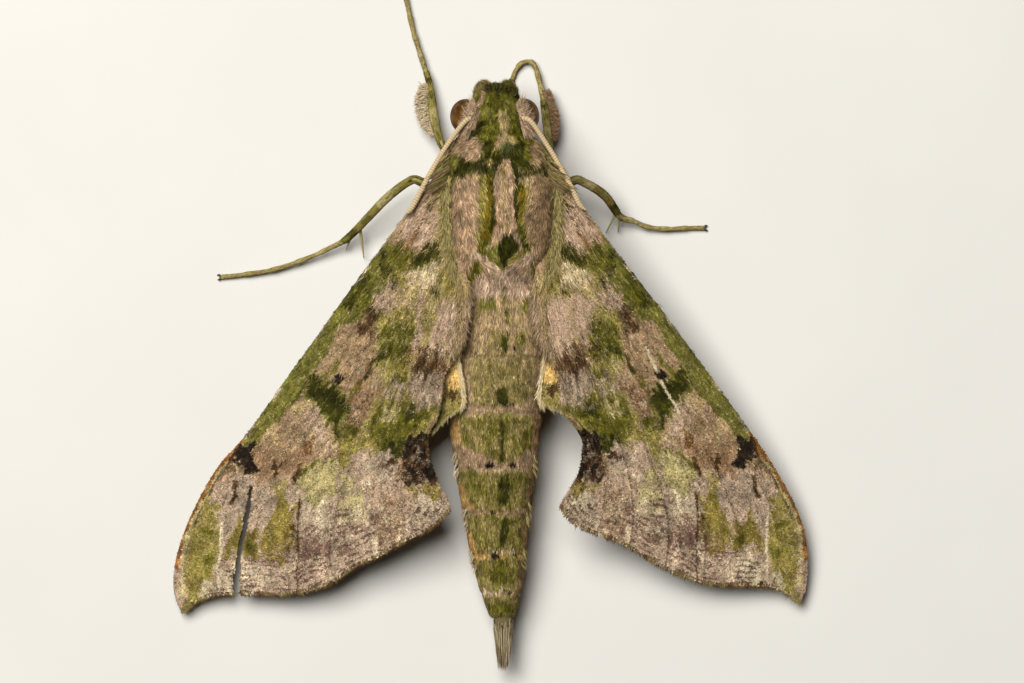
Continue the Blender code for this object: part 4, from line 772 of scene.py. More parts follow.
def unit(vectors):
    """Vectors of length 1."""
    return vectors / np.maximum(np.linalg.norm(vectors, axis=-1, keepdims=True), 1e-12)


def lattice(x, y, seed):
    """A fixed random number from 0 to 1 for each whole-numbered place."""
    mixed = (x * 374761393 + y * 668265263 + seed * 974634777) & 0xFFFFFFFF
    mixed = ((mixed ^ (mixed >> 13)) * 1274126177) & 0xFFFFFFFF
    return ((mixed ^ (mixed >> 16)) & 0xFFFF) / 65535


def noise(column, row, size, seed):
    """Smooth blotches from 0 to 1 of a size in steps."""
    x, y = column / size, row / size
    left, top = np.floor(x), np.floor(y)
    across, down = smooth(0, 1, x - left), smooth(0, 1, y - top)
    left, top = left.astype(np.int64), top.astype(np.int64)
    upper = lattice(left, top, seed) * (1 - across) + lattice(left + 1, top, seed) * across
    lower = lattice(left, top + 1, seed) * (1 - across) + lattice(left + 1, top + 1, seed) * across
    return upper * (1 - down) + lower * down


def curve_through(points, count):
    """Places on a smooth line through points, the same number between each two."""
    points = np.array(points, float)
    padded = np.vstack([points[:1], points, points[-1:]])
    share = np.linspace(0, len(points) - 1, count)
    index = np.minimum(share.astype(int), len(points) - 2)
    t = (share - index)[:, None]
    a, b, c, d = (padded[index + k] for k in range(4))
    square, cube = 2 * a - 5 * b + 4 * c - d, 3 * b - a - 3 * c + d
    return (2 * b + (c - a) * t + square * t ** 2 + cube * t ** 3) / 2


def smooth_line(points, count=500):
    """Places evenly spaced along a smooth line through points."""
    line = curve_through(points, count * 3)
    steps = np.linalg.norm(np.diff(line[:, :2], axis=0), axis=1)
    length = np.concatenate([[0], np.cumsum(steps)])
    even = np.linspace(0, length[-1], count)
    return np.stack([np.interp(even, length, values) for values in line.T], 1)


def walk(line, share):
    """Places at shares of an evenly spaced line."""
    known = np.linspace(0, 1, len(line))
    return np.stack([np.interp(share, known, values) for values in line.T], -1)


def chain_distance(column, row, points):
    """Distance from places to a chain of points."""
    nearest = np.full(column.shape, np.inf)
    for (x0, y0), (x1, y1) in zip(points, points[1:]):
        dx, dy = x1 - x0, y1 - y0
        share = np.clip(((column - x0) * dx + (row - y0) * dy) / (dx * dx + dy * dy), 0, 1)
        nearest = np.minimum(nearest, np.hypot(column - x0 - share * dx, row - y0 - share * dy))
    return nearest


def enclosed(column, row, points):
    """Which places lie inside a closed outline."""
    inside = np.zeros(column.shape, bool)
    for (x0, y0), (x1, y1) in zip(points, points[1:] + points[:1]):
        if y0 == y1:
            continue
        crossing = x0 + (row - y0) * (x1 - x0) / (y1 - y0)
        inside ^= ((y0 > row) != (y1 > row)) & (column < crossing)
    return inside


def area_mask(column, row, soft, points):
    """1 inside an outline, fading over its edge."""
    distance = chain_distance(column, row, points + points[:1])
    return smooth(-soft, soft, np.where(enclosed(column, row, points), distance, -distance))


def band_mask(column, row, soft, points, width):
    """1 along a line of a width, fading over its edges."""
    return 1 - smooth(width / 2 - soft, width / 2 + soft, chain_distance(column, row, points))


def spot_mask(column, row, soft, centre, radii):
    """1 inside an oval, fading over its edge."""
    reach = np.hypot((column - centre[0]) / radii[0], (row - centre[1]) / radii[1])
    edge = soft / max(radii)
    return 1 - smooth(1 - edge, 1 + edge, reach)


MASKS = {"area": area_mask, "band": band_mask, "spot": spot_mask}


def plain(colour, count):
    """One colour of the palette for a number of places."""
    return np.tile(PALETTE[colour], (count, 1))


def lay(colours, colour, mask, grain, ragged=0.8):
    """Lay a colour over others where the mask wins over the grain."""
    share = smooth(0.22, 0.78, mask + (grain - 0.5) * ragged) * smooth(0, 0.1, mask)
    colours += (PALETTE[colour] - colours) * share[:, None]


def dust(colours, choices, chance):
    """Lay colours one after the other, each by chance over a share of the places."""
    for colour, strength in choices:
        lay(colours, colour, np.full(len(colours), strength), chance.random(len(colours)))


def wander(column, row, seed):
    """Shifts in steps that make a drawn edge wander, by large and small blotches."""
    return (noise(column, row, 15, seed) - 0.5) * 7 + (noise(column, row, 5, seed + 1) - 0.5) * 4


def lay_marks(colours, marks, column, row, own, streaks, warp=1.0, lie=(0.0, 1.0)):
    """Lay a list of markings, with edges broken up by blotches, streaks and each tuft's own chance."""
    combed = (streaks - 0.5) * COMBED_EDGE * warp
    shifted = column + wander(column, row, 11) * warp
    moved = row + wander(column, row, 13) * warp
    shifted, moved = shifted + lie[0] * combed, moved + lie[1] * combed
    for index, (kind, colour, strength, soft, *shape) in enumerate(marks):
        if kind == "dot":
            lay(colours, colour, strength * spot_mask(column, row, soft, *shape), own, 0.1)
            continue
        mask = MASKS[kind](shifted, moved, soft, *shape) * strength
        mask = mask * (0.8 + 0.4 * noise(column, row, 10, 140 + index))
        grain = 0.3 * noise(column, row, 7, 20 + index) + 0.2 * noise(column, row, 2.6, 80 + index)
        lay(colours, colour, mask, grain + 0.25 * streaks + 0.25 * own, 1.0)


def flecks(colours, choices, chance):
    """Give a share of the places another colour each, the less the darker they are."""
    drawn = chance.random(len(colours))
    reach = np.clip(colours.mean(1) / FLECK_LIGHT, 0, 1)
    start = 0.0
    for colour, share, strength in choices:
        picked = (drawn >= start) & (drawn < start + share)
        colours[picked] += (PALETTE[colour] - colours[picked]) * strength * reach[picked, None]
        start += share


def mottle(colours, column, row, streaks, amounts):
    """Make blotches of three sizes and streaks lighter and darker."""
    large, middle, small, fine = amounts
    change = large * (noise(column, row, 13, 91) - 0.5) + middle * (noise(column, row, 5, 92) - 0.5)
    change += small * (noise(column, row, 2.2, 93) - 0.5) + fine * (streaks - 0.5)
    change *= 1 + DARK_MOTTLE * (1 - np.clip(colours.mean(1) / FLECK_LIGHT, 0, 1))
    return colours * np.exp(change)[:, None]


def vary(colours, chance, amount):
    """Make each place a little lighter or darker."""
    return colours * np.exp(chance.normal(0, amount, (len(colours), 1)))


def wing_lie(column, row):
    """The way scales lie on the left wing, away from its root."""
    x, y = column - WING_HEART[0], row - WING_HEART[1]
    length = np.hypot(x, y)
    return x / length, y / length


def wing_streaks(column, row, seed):
    """Fine streaks that fan out from the wing's root."""
    x, y = WING_HEART[0] - column, row - WING_HEART[1]
    return noise(np.arctan2(y, x) * 300, np.hypot(x, y) / 3.2, 2.8, seed)


def lay_speckles(colours, column, row, own):
    """Lay the fine patterns that some fields of the forewing have of their own."""
    for outline, speckles in SPECKLED_FIELDS:
        inside = area_mask(column, row, SPECKLE_SOFTNESS, outline)
        for name, strength, seed in speckles:
            spots = smooth(0.5, 0.66, noise(column, row, SPECKLE_SIZE, seed))
            lay(colours, name, strength * inside * spots, own, 0.5)


def lay_wavy_bars(colours, column, row, own, streaks):
    """Lay broken, wavy bars that follow the forewing's outer margin, over a cream ground."""
    field = area_mask(column, row, BAR_FIELD_SOFTNESS, BARRED_FIELD)
    margin = chain_distance(column, row, LEFT_OUTER)
    wave = sum(bars * noise(column, row, size, seed) for bars, size, seed in BAR_WAVES)
    lines = smooth(0.35, 0.85, 0.5 + 0.5 * np.sin(2 * np.pi * (margin / BAR_PITCH + wave)))
    lines = lines * smooth(0.3, 0.52, noise(column, row * 2.2, 6, 10))
    grouped = noise(column, row * 1.8, 17, 8)
    lay(colours, "cream", 0.36 * field * (1.25 - grouped), 0.5 * own + 0.5 * streaks, 1.0)
    lay(colours, "mauve", field * lines * (0.3 + 1.1 * grouped), own, 0.35)


def forewing_colours(column, row, chance, own_share=1.0):
    """Colours of the forewing's upper side at places on the left wing."""
    own = 0.5 + (chance.random(column.shape) - 0.5) * own_share
    streaks = wing_streaks(column, row, 61)
    colours = plain("pink", len(column))
    lay(colours, "buff", np.full(len(column), 0.42), 0.6 * noise(column, row, 9, 5) + 0.4 * own)
    lay(colours, "rose", np.full(len(column), 0.3), 0.6 * noise(column, row, 5, 6) + 0.4 * own)
    lay_marks(colours, FOREWING_MARKS, column, row, own, streaks, lie=wing_lie(column, row))
    lay_speckles(colours, column, row, own)
    lay_wavy_bars(colours, column, row, own, streaks)
    lay_marks(colours, OUTER_LINES, column, row, own, streaks, 0.4)
    colours = mottle(colours, column, row, wing_streaks(column, row, 62), WING_MOTTLE)
    flecks(colours, FOREWING_FLECKS, chance)
    return colours


def hindwing_colours(column, row, chance, own_share=1.0):
    """Colours of the hindwing's upper side at places on the left wing."""
    own = 0.5 + (chance.random(column.shape) - 0.5) * own_share
    streaks = wing_streaks(column, row, 63)
    colours = plain("umber", len(column))
    lay(colours, "rust", band_mask(column, row, *HINDWING_GLOW), own)
    lay_marks(colours, HINDWING_MARKS, column, row, own, streaks)
    colours = mottle(colours, column, row, streaks, WING_MOTTLE)
    flecks(colours, HINDWING_FLECKS, chance)
    return colours


def body_colours(column, row, up, chance, own_share=1.0):
    """Colours of head, thorax and abdomen. up is how far the surface faces up."""
    own = 0.5 + (chance.random(column.shape) - 0.5) * own_share
    streaks = noise(column * 1.7, row / 1.8, 3.0, 3)
    colours = plain("buff", len(column))
    lay(colours, "pink", np.full(len(row), 0.55), 0.5 * streaks + 0.5 * own)
    ragged = row + ABDOMEN_RAGGED * (noise(column, row, 4, 19) - 0.5)
    rear = sum(share * smooth(start, end, ragged) for share, start, end in ABDOMEN_FADES)
    colours += (PALETTE["moss"] - colours) * (0.9 * rear)[:, None]
    patchy = 0.5 * noise(column, row, 5, 18) + 0.5 * own
    lay(colours, "green", 0.42 * rear, patchy, 1.0)
    lay(colours, "buff", 0.28 * rear, 1 - patchy, 1.0)
    flank = (1 - smooth(0.25, 0.62, up)) * smooth(*FLANK_FADE, row)
    lay(colours, "ochre", 0.9 * flank, own)
    lay_marks(colours, BODY_MARKS, column, row, own, streaks, 0.35)
    lay_marks(colours, SEGMENT_MARKS, column, row, own, streaks, 0.35)
    lay(colours, "under", 0.95 * (1 - smooth(-0.35, 0.05, up)), own)
    colours = mottle(colours, column, row, noise(column * 2.1, row / 1.6, 3.4, 4), BODY_MOTTLE)
    flecks(colours, BODY_FLECKS, chance)
    return colours


def new_material(name, roughness, specular):
    """A surface whose nodes are filled in by the caller: material, its tree and its shader."""
    material = bpy.data.materials.new(name)
    material.use_nodes = True
    tree = material.node_tree
    surface = tree.nodes["Principled BSDF"]
    surface.inputs["Roughness"].default_value = roughness
    surface.inputs["Specular IOR Level"].default_value = specular
    return material, tree, surface


def add_node(tree, kind, **values):
    """A node with some of its settings and input values given."""
    node = tree.nodes.new(kind)
    for key, value in values.items():
        if hasattr(node, key):
            setattr(node, key, value)
        else:
            node.inputs[key.replace("_", " ")].default_value = value
    return node


def mottled(tree, scale, dark, light):
    """A grey noise from dark to light, to multiply colours by."""
    place = add_node(tree, "ShaderNodeTexCoord")
    texture = add_node(tree, "ShaderNodeTexNoise", Scale=scale, Detail=3.0)
    tree.links.new(place.outputs["Object"], texture.inputs["Vector"])
    ramp = add_node(tree, "ShaderNodeMapRange", To_Min=dark, To_Max=light, From_Min=0.3, From_Max=0.7)
    tree.links.new(texture.outputs["Fac"], ramp.inputs["Value"])
    return texture, ramp


def add_relief(tree, surface, height, strength, depth, invert=False):
    """Raise a surface by a texture's output, to a depth in mm."""
    relief = add_node(tree, "ShaderNodeBump", Strength=strength, Distance=depth * MM, invert=invert)
    tree.links.new(height, relief.inputs["Height"])
    tree.links.new(relief.outputs["Normal"], surface.inputs["Normal"])


def scaly_material(name, scale=9000.0, bump=0.35, roughness=0.85, specular=0.06, dark=0.8, light=1.2):
    """Colours from the mesh with fine mottling and a fine relief."""
    material, tree, surface = new_material(name, roughness, specular)
    colour = add_node(tree, "ShaderNodeAttribute", attribute_name="colour")
    texture, ramp = mottled(tree, scale, dark, light)
    mixed = add_node(tree, "ShaderNodeVectorMath", operation="MULTIPLY")
    tree.links.new(colour.outputs["Color"], mixed.inputs[0])
    tree.links.new(ramp.outputs["Result"], mixed.inputs[1])
    tree.links.new(mixed.outputs["Vector"], surface.inputs["Base Color"])
    add_relief(tree, surface, texture.outputs["Fac"], bump, 0.03)
    return material


def eye_material():
    """A glossy compound eye: amber brown in darker and lighter blotches, with fine facets."""
    material, tree, surface = new_material("eye_facets", 0.5, 0.1)
    place = add_node(tree, "ShaderNodeTexCoord")
    blotch = add_node(tree, "ShaderNodeTexNoise", Scale=1400.0, Detail=2.0)
    facets = add_node(tree, "ShaderNodeTexVoronoi", Scale=14000.0)
    for texture in (blotch, facets):
        tree.links.new(place.outputs["Object"], texture.inputs["Vector"])
    ramp = add_node(tree, "ShaderNodeValToRGB")
    for element, (position, seen) in zip(ramp.color_ramp.elements, EYE_TONES):
        element.position = position
        element.color = (*tint(*seen), 1)
    tree.links.new(blotch.outputs["Fac"], ramp.inputs["Fac"])
    tree.links.new(ramp.outputs["Color"], surface.inputs["Base Color"])
    add_relief(tree, surface, facets.outputs["Distance"], 0.5, 0.02, True)
    return material


def mesh_object(name, points, faces, material, colours=None, unwrap=None, flat=False):
    """An object from arrays of points and of faces, with a colour for each point."""
    mesh = bpy.data.meshes.new(name)
    sides = faces.shape[1]
    mesh.vertices.add(len(points))
    mesh.vertices.foreach_set("co", np.ascontiguousarray(points, np.float32).ravel())
    mesh.loops.add(faces.size)
    mesh.loops.foreach_set("vertex_index", np.ascontiguousarray(faces, np.int32).ravel())
    mesh.polygons.add(len(faces))
    mesh.polygons.foreach_set("loop_start", np.arange(0, faces.size, sides, dtype=np.int32))
    mesh.update(calc_edges=True)
    if colours is not None:
        layer = mesh.color_attributes.new("colour", "FLOAT_COLOR", "POINT")
        shown = np.ones((len(points), 4), np.float32)
        shown[:, :3] = np.clip(colours, 0, 1)
        layer.data.foreach_set("color", shown.ravel())
    if unwrap is not None:
        layer = mesh.uv_layers.new(name="OFBake")
        layer.data.foreach_set("uv", np.ascontiguousarray(unwrap[faces.ravel()], np.float32).ravel())
    if flat:
        mesh.shade_flat()
    else:
        mesh.shade_smooth()
    mesh.materials.append(material)
    thing = bpy.data.objects.new(name, mesh)
    bpy.context.scene.collection.objects.link(thing)
    return thing


def place(thing, slot, *nodes):
    """Hang a piece on the body and hide the solids it stands for. The slot is not used."""
    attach(thing, BODY)
    if nodes:
        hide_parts(*nodes)
    return thing


class Skin:
    """A surface held as a grid of points, its rows running from root to tip."""

    def __init__(self, points, wrapped=False, outward=1.0):
        self.points = points
        source = points
        if wrapped:
            source = np.concatenate([points[:, -2:-1], points, points[:, 1:2]], 1)
        ahead = np.gradient(source, axis=0)
        beside = np.gradient(source, axis=1)
        if wrapped:
            ahead, beside = ahead[:, 1:-1], beside[:, 1:-1]
        self.lies = unit(ahead)
        self.normals = unit(np.cross(beside, ahead)) * outward
        rows, sides = points.shape[:2]
        self.open_cells = np.ones((rows - 1, sides - 1), bool)
        spans = np.linspace(0.01, 0.99, rows), np.linspace(0.01, 0.99, sides)
        self.unwrap = np.stack(np.meshgrid(*spans, indexing="ij"), -1)

    def face(self, outward):
        """Turn the normals round if they point against given directions."""
        if (self.normals * outward).sum() < 0:
            self.normals = -self.normals
        return self

    def faces(self):
        """Corner numbers of the open cells, in a mesh that holds the grid row by row."""
        rows, sides = self.points.shape[:2]
        corners = np.arange(rows * sides).reshape(rows, sides)
        cells = np.stack([corners[:-1, :-1], corners[:-1, 1:], corners[1:, 1:], corners[1:, :-1]], -1)
        return cells[self.open_cells]

    def cell_areas(self):
        """Areas of the cells in square mm."""
        one = self.points[1:, 1:] - self.points[:-1, :-1]
        other = self.points[1:, :-1] - self.points[:-1, 1:]
        return np.linalg.norm(np.cross(one, other), axis=-1) / 2 / MM ** 2

    def scatter(self, per_mm2, chance, weight=None):
        """Random places as fractions of grid lines, evenly spread by area times weight."""
        areas = self.cell_areas() * self.open_cells
        if weight is not None:
            areas = areas * weight[:-1, :-1]
        count = int(areas.sum() * per_mm2)
        picked = chance.choice(areas.size, count, p=(areas / areas.sum()).ravel())
        row, side = np.unravel_index(picked, areas.shape)
        return row + chance.random(count), side + chance.random(count)

    def at(self, grid, row, side):
        """Values of a grid between its lines."""
        r = np.clip(row.astype(int), 0, grid.shape[0] - 2)
        s = np.clip(side.astype(int), 0, grid.shape[1] - 2)
        down = (row - r).reshape(-1, *[1] * (grid.ndim - 2))
        across = (side - s).reshape(-1, *[1] * (grid.ndim - 2))
        upper = grid[r, s] * (1 - across) + grid[r, s + 1] * across
        lower = grid[r + 1, s] * (1 - across) + grid[r + 1, s + 1] * across
        return upper * (1 - down) + lower * down


def turned(lies, normals, angles):
    """Directions turned about the normals."""
    beside = np.cross(lies, normals)
    return unit(lies * np.cos(angles)[..., None] + beside * np.sin(angles)[..., None])


def tufts(name, material, shape, roots, lies, normals, lengths, widths, lifts, colours, unwraps):
    """Many tufts as one mesh, each with painted shade at its root and painted light at its tip, with its
    own patch on the unwrap.
    """
    points, faces = shape
    sides = unit(np.cross(lies, normals))
    across, along, rise, thick = (points[None, :, k, None] for k in range(4))
    lengths = lengths[:, None, None] * MM
    widths = widths[:, None, None] * MM
    lifts = lifts[:, None, None]
    made = roots[:, None] + sides[:, None] * across * widths + lies[:, None] * along * lengths
    made += normals[:, None] * (rise * lifts * lengths + thick * widths)
    made[..., 2] = np.maximum(made[..., 2], TUFT_CLEARANCE * MM)
    numbers = np.arange(len(roots))[:, None, None] * len(points) + faces[None]
    painted = colours[:, None] * (ROOT_SHADE + TIP_LIGHT * np.clip(along, 0, 1))
    patch = unwraps[:, None] + (np.stack([across[0, :, 0] + 0.5, along[0, :, 0]], -1) - 0.5) * TUFT_PATCH
    return mesh_object(name, made.reshape(-1, 3), numbers.reshape(-1, 3), material,
                       painted.reshape(-1, 3), np.clip(patch, 0, 1).reshape(-1, 2), flat=True)


def grown_coat(name, skin, row, side, coat, shape, colours, material, chance, sway=0.16, length_share=1.0):
    """Tufts of one coat at places on a skin, lying towards its tip."""
    count = len(row)
    normals = unit(skin.at(skin.normals, row, side))
    roots = skin.at(skin.points, row, side)
    x, y = roots[:, 0] / STEP, roots[:, 1] / STEP
    bend = (noise(x, y, CLUMP_SIZE, 51) - 0.5) * coat["clump"]
    gathered = np.exp((noise(x, y, CLUMP_SIZE * 0.7, 52) - 0.5) * coat["clump"])[:, None]
    lies = turned(unit(skin.at(skin.lies, row, side)), normals, bend + chance.normal(0, sway, count))
    lengths = coat["length"] * np.exp(chance.normal(0, LENGTH_SPREAD, count)) * length_share
    widths = coat["width"] * np.exp(chance.normal(0, WIDTH_SPREAD, count))
    lifts = coat["lift"] * np.exp(chance.normal(0, LIFT_SPREAD, count))
    colours = vary(colours, chance, coat["vary"]) * coat["gain"] * gathered
    colours = darken_some(colours, chance, coat["gaps"])
    return tufts(name, material, shape, roots, lies, normals, lengths, widths, lifts, colours,
                 skin.at(skin.unwrap, row, side))


def wing_level(column, row):
    """Height in mm of a wing's middle surface over the floor."""
    side = np.abs(column - MIDLINE) / STEPS_PER_MM
    behind = (row - WING_LEVEL_ROW) / WING_REAR_BLEND
    level = WING_TOP - WING_SIDE_SLOPE * (side - WING_INNER_SIDE)
    level = level - WING_REAR_SLOPE * WING_REAR_BLEND * np.log1p(np.exp(behind)) / STEPS_PER_MM
    return WING_FLOOR + WING_FLOOR_BLEND * np.log1p(np.exp((level - WING_FLOOR) / WING_FLOOR_BLEND))


def darken_some(colours, chance, share):
    """Paint a share of the places dark, as painted shade in the gaps between hairs."""
    return np.where(chance.random((len(colours), 1)) < share, colours * GAP_SHADE, colours)


def gappy(colours, chance, amount):
    """Vary colours and paint some of them dark, as painted shade in the gaps between hairs."""
    return darken_some(vary(colours, chance, amount), chance, GAP_SHARE)


def forewing_level(column, row, across):
    """Height of the forewing: the shared slope, its swollen root and a drooping front edge."""
    side = np.abs(column - MIDLINE) / STEPS_PER_MM - ROOT_SWELLING_PLACE[0]
    along = (row - ROOT_SWELLING_PLACE[1]) / STEPS_PER_MM
    swelling = ROOT_SWELLING * np.exp(-(side * side + along * along) / ROOT_SWELLING_SIZE ** 2)
    return wing_level(column, row) + swelling - COSTA_DROOP * np.exp(-across / COSTA_DROOP_REACH)


def hindwing_level(column, row, _):
    """Height of the hindwing, just under the forewing."""
    return wing_level(column, row) - HINDWING_BELOW


def patch_places(outline, along, across):
    """Grid places inside four margins at shares along and across the wing."""
    costa, outer, inner = (smooth_line(points) for points in outline)
    root = np.array([outline[0][0], outline[2][0]], float)
    start, end = inner[0], inner[-1]
    along, across = np.broadcast_arrays(along, across)
    a, c = along[..., None], across[..., None]
    straight = start + (end - start) * a
    point = walk(costa, along) * (1 - c) + straight * c + (walk(inner, along) - straight) * c ** HOLLOW_FADE
    point = point + walk(root, across) * (1 - a) + walk(outer, across) * a
    point = point - costa[0] * (1 - a) * (1 - c) - costa[-1] * a * (1 - c)
    return point - start * (1 - a) * c - end * a * c


def vein_relief(veins, along, across, cell):
    """Raised veins, from 0 on the membrane to 1 on a crest."""
    relief = np.zeros(np.broadcast(along, across).shape)
    for place_across, start, end in veins:
        run = between((start - VEIN_FADE, start), (end, end + VEIN_FADE), along)
        relief = np.maximum(relief, np.exp(-((across - place_across) / VEIN_WIDTH) ** 2) * run)
    if cell:
        crest = np.exp(-((along - cell) / CELL_WIDTH) ** 2)
        relief = np.maximum(relief, crest * between(*CELL_SIDES, across))
    return relief


def open_tear(places, tear):
    """Push grid places apart along a tear, and say which cells span it."""
    columns, rows, widths = np.array(tear, float).T
    column, row = places[..., 0], places[..., 1]
    width = np.interp(row, rows, widths)
    offset = column - np.interp(row, rows, columns)
    near = np.clip(1 - np.abs(offset) / TEAR_REACH, 0, 1)
    ragged = 1 + 0.6 * (noise(column, row, 3.0, 71) - 0.5)
    torn = row >= rows[0]
    side = np.where(offset < 0, -1, 1)
    shifted = places.copy()
    shifted[..., 0] += side * width * ragged * near * torn
    spans = np.zeros((places.shape[0] - 1, places.shape[1] - 1), bool)
    for k, m in ((0, 1), (1, 0), (1, 1)):
        other = side[k:side.shape[0] - 1 + k, m:side.shape[1] - 1 + m]
        spans |= other != side[:-1, :-1]
    return shifted, spans & torn[:-1, :-1]


def wing_skin(outline, level, veins, cell, size, end, tear=None):
    """A wing's upper surface, and the shares along and across of its grid."""
    along, across = np.meshgrid(np.linspace(0, end, size[0]), np.linspace(0, 1, size[1]), indexing="ij")
    places = patch_places(outline, along, across)
    spans = None
    if tear is not None:
        places, spans = open_tear(places, tear)
    column, row = places[..., 0], places[..., 1]
    height = level(column, row, across) + WING_SURFACE
    height = height + VEIN_RISE * vein_relief(veins, along, across, cell)
    height = height + WING_RIPPLE * (noise(column, row, WING_RIPPLE_SIZE, 81) - 0.5)
    outward = 1.0 if outline[0][-1][0] < MIDLINE else -1.0
    skin = Skin(space(column, row, height), outward=outward).face(UPWARD)
    if spans is not None:
        skin.open_cells &= ~spans
    return skin, along, across


class Wing:
    """A wing's skin, and where its grid places lie: along, across, on the pattern and as seen."""

    def __init__(self, name, outline, pattern, *build):
        self.name = name
        self.skin, self.along, self.across = wing_skin(outline, *build)
        self.pattern = patch_places(pattern, self.along, self.across)
        self.seen = patch_places(outline, self.along, self.across)

    def places(self, row, side):
        """Where on the left wing's pattern places on this grid lie."""
        return self.skin.at(self.pattern, row, side).T

    def corners(self):
        """Every grid place, row by row."""
        return [grid.ravel().astype(float) for grid in np.indices(self.along.shape)]

    def tip_line(self):
        """Grid places along the outer margin."""
        rows, sides = self.along.shape
        return np.full(sides, rows - LAST_LINE), np.linspace(0, sides - LAST_LINE, sides)

    def inner_line(self, start, end=1.0):
        """Grid places along the inner margin, between shares of the wing's length."""
        rows, sides = self.along.shape
        last = rows - LAST_LINE if end == 1.0 else rows * end
        return np.linspace(rows * start, last, EDGE_STEPS), np.full(EDGE_STEPS, sides - LAST_LINE)

    def add_fringes(self, fringes, material, chance, slot):
        """Fringes, each as: name, grid line, coat, colours, which way it points, and its slant."""
        for part, line, coat, paint, outward, slant in fringes:
            fringe = wing_fringe("%s_%s" % (self.name, part), self.skin, self.places, line, coat, paint,
                                 material, chance, outward, slant)
            place(fringe, slot)


def wing_sheet(name, skin, colours, material, under):
    """The membrane: the wing's upper surface thickened downwards, thinner at its margins."""
    rows, sides = skin.points.shape[:2]
    faces = skin.faces()
    across_cell = np.cross(skin.points[1, 0] - skin.points[0, 0], skin.points[0, 1] - skin.points[0, 0])
    if across_cell[2] > 0:
        faces = faces[:, ::-1]
    sheet = mesh_object(name, skin.points.reshape(-1, 3), faces, material, colours)
    sheet.data.materials.append(under)
    group = sheet.vertex_groups.new(name="thickness")
    row, side = np.meshgrid(np.arange(rows), np.arange(sides), indexing="ij")
    edge = np.minimum.reduce([rows - 1 - row, side, sides - 1 - side]).ravel()
    for step in range(4):
        group.add(np.flatnonzero(edge == step).tolist(), 0.25 * step, "REPLACE")
    group.add(np.flatnonzero(edge > 3).tolist(), 1.0, "REPLACE")
    solid = sheet.modifiers.new("thickness", "SOLIDIFY")
    solid.thickness = WING_THICKNESS * MM
    solid.offset = -1.0
    solid.vertex_group = group.name
    solid.thickness_vertex_group = WING_EDGE_SHARE
    solid.material_offset = 1
    return sheet


def wing_fringe(name, skin, places_of, line, coat, colours_of, material, chance, outward, slant=0.0):
    """Tufts along one edge of a wing, pointing away from it or slanting along it."""
    row, side = line
    points = skin.at(skin.points, row, side)
    length = np.linalg.norm(np.diff(points, axis=0), axis=1).sum() / MM
    count = int(length * coat["per_mm"])
    share = np.sort(chance.random(count)) * (len(row) - 1)
    row = np.interp(share, np.arange(len(row)), row)
    side = np.interp(share, np.arange(len(side)), side) - coat.get("band", 0.0) * chance.random(count)
    normals = unit(skin.at(skin.normals, row, side))
    lies = unit(skin.at(skin.lies, row, side))
    away = lies if outward == "tip" else unit(np.cross(lies, normals)) * outward + lies * slant
    lies = turned(unit(away), normals, chance.normal(0, FRINGE_SWAY, count))
    roots = skin.at(skin.points, row, side) - normals * (FRINGE_DEPTH * MM) * chance.random((count, 1))
    roots = roots - lies * (FRINGE_INSET * MM)
    lengths = coat["length"] * np.exp(chance.normal(0, FRINGE_LENGTH_SPREAD, count))
    widths = coat["width"] * np.exp(chance.normal(0, WIDTH_SPREAD, count))
    lifts = chance.normal(coat.get("lift", 0.0), FRINGE_LIFT_SPREAD, count)
    colours = vary(colours_of(*places_of(row, side), chance), chance, 0.15)
    return tufts(name, material, LOCK, roots, lies, normals, lengths, widths, lifts, colours,
                 skin.at(skin.unwrap, row, side))


def fringe_colours(column, row, chance):
    """The buff fringe of a forewing, darker in places."""
    colours = plain("ochre", len(column))
    dust(colours, (("straw", 0.25),), chance)
    lay(colours, "brown", np.full(len(column), 0.6), noise(column, row, 5, 31))
    return colours * FRINGE_GAIN


def cream_colours(column, chance, straw):
    """Cream with a share of straw."""
    colours = plain("cream", len(column))
    dust(colours, (("straw", straw),), chance)
    return colours


def pale_fringe_colours(column, _, chance):
    """The whitish fringe of a hindwing's corner."""
    return cream_colours(column, chance, 0.5)


def margin_colours(column, _, chance):
    """The cream hair along a hindwing's inner margin, painted lighter to make up for the body's shade over
    it.
    """
    return cream_colours(column, chance, 0.4) * MARGIN_PAINTED_LIGHT


def forewing_paint(wing, side_name, row, side, chance, own_share=1.0):
    """Colours at places on a forewing's grid: the shared pattern, dark veins and the right wing's own."""
    colours = forewing_colours(*wing.places(row, side), chance, own_share)
    a, c = wing.skin.at(wing.along, row, side), wing.skin.at(wing.across, row, side)
    crest = vein_relief(FOREWING_VEINS, a, c, None) ** 5 * smooth(*VEIN_DARK, a)
    lay(colours, "umber", VEIN_SHADE[side_name] * crest, chance.random(len(row)), 0.4)
    if side_name == "right":
        places = wing.skin.at(wing.seen, row, side).T
        lay_marks(colours, RIGHT_MARKS, *places, chance.random(len(row)), noise(*places, 3, 64), 0.2)
    return colours


def root_hair_weight(along, across):
    """Where a forewing has hair: its root, its inner margin, and thinly its whole inner half."""
    hair = (1 - smooth(0.1, 0.2, along)) + smooth(0.7, 0.9, across) * (1 - smooth(0.2, 0.36, along))
    return np.clip(hair + 0.35 * (1 - smooth(0.4, 0.62, along)), 0, 1)


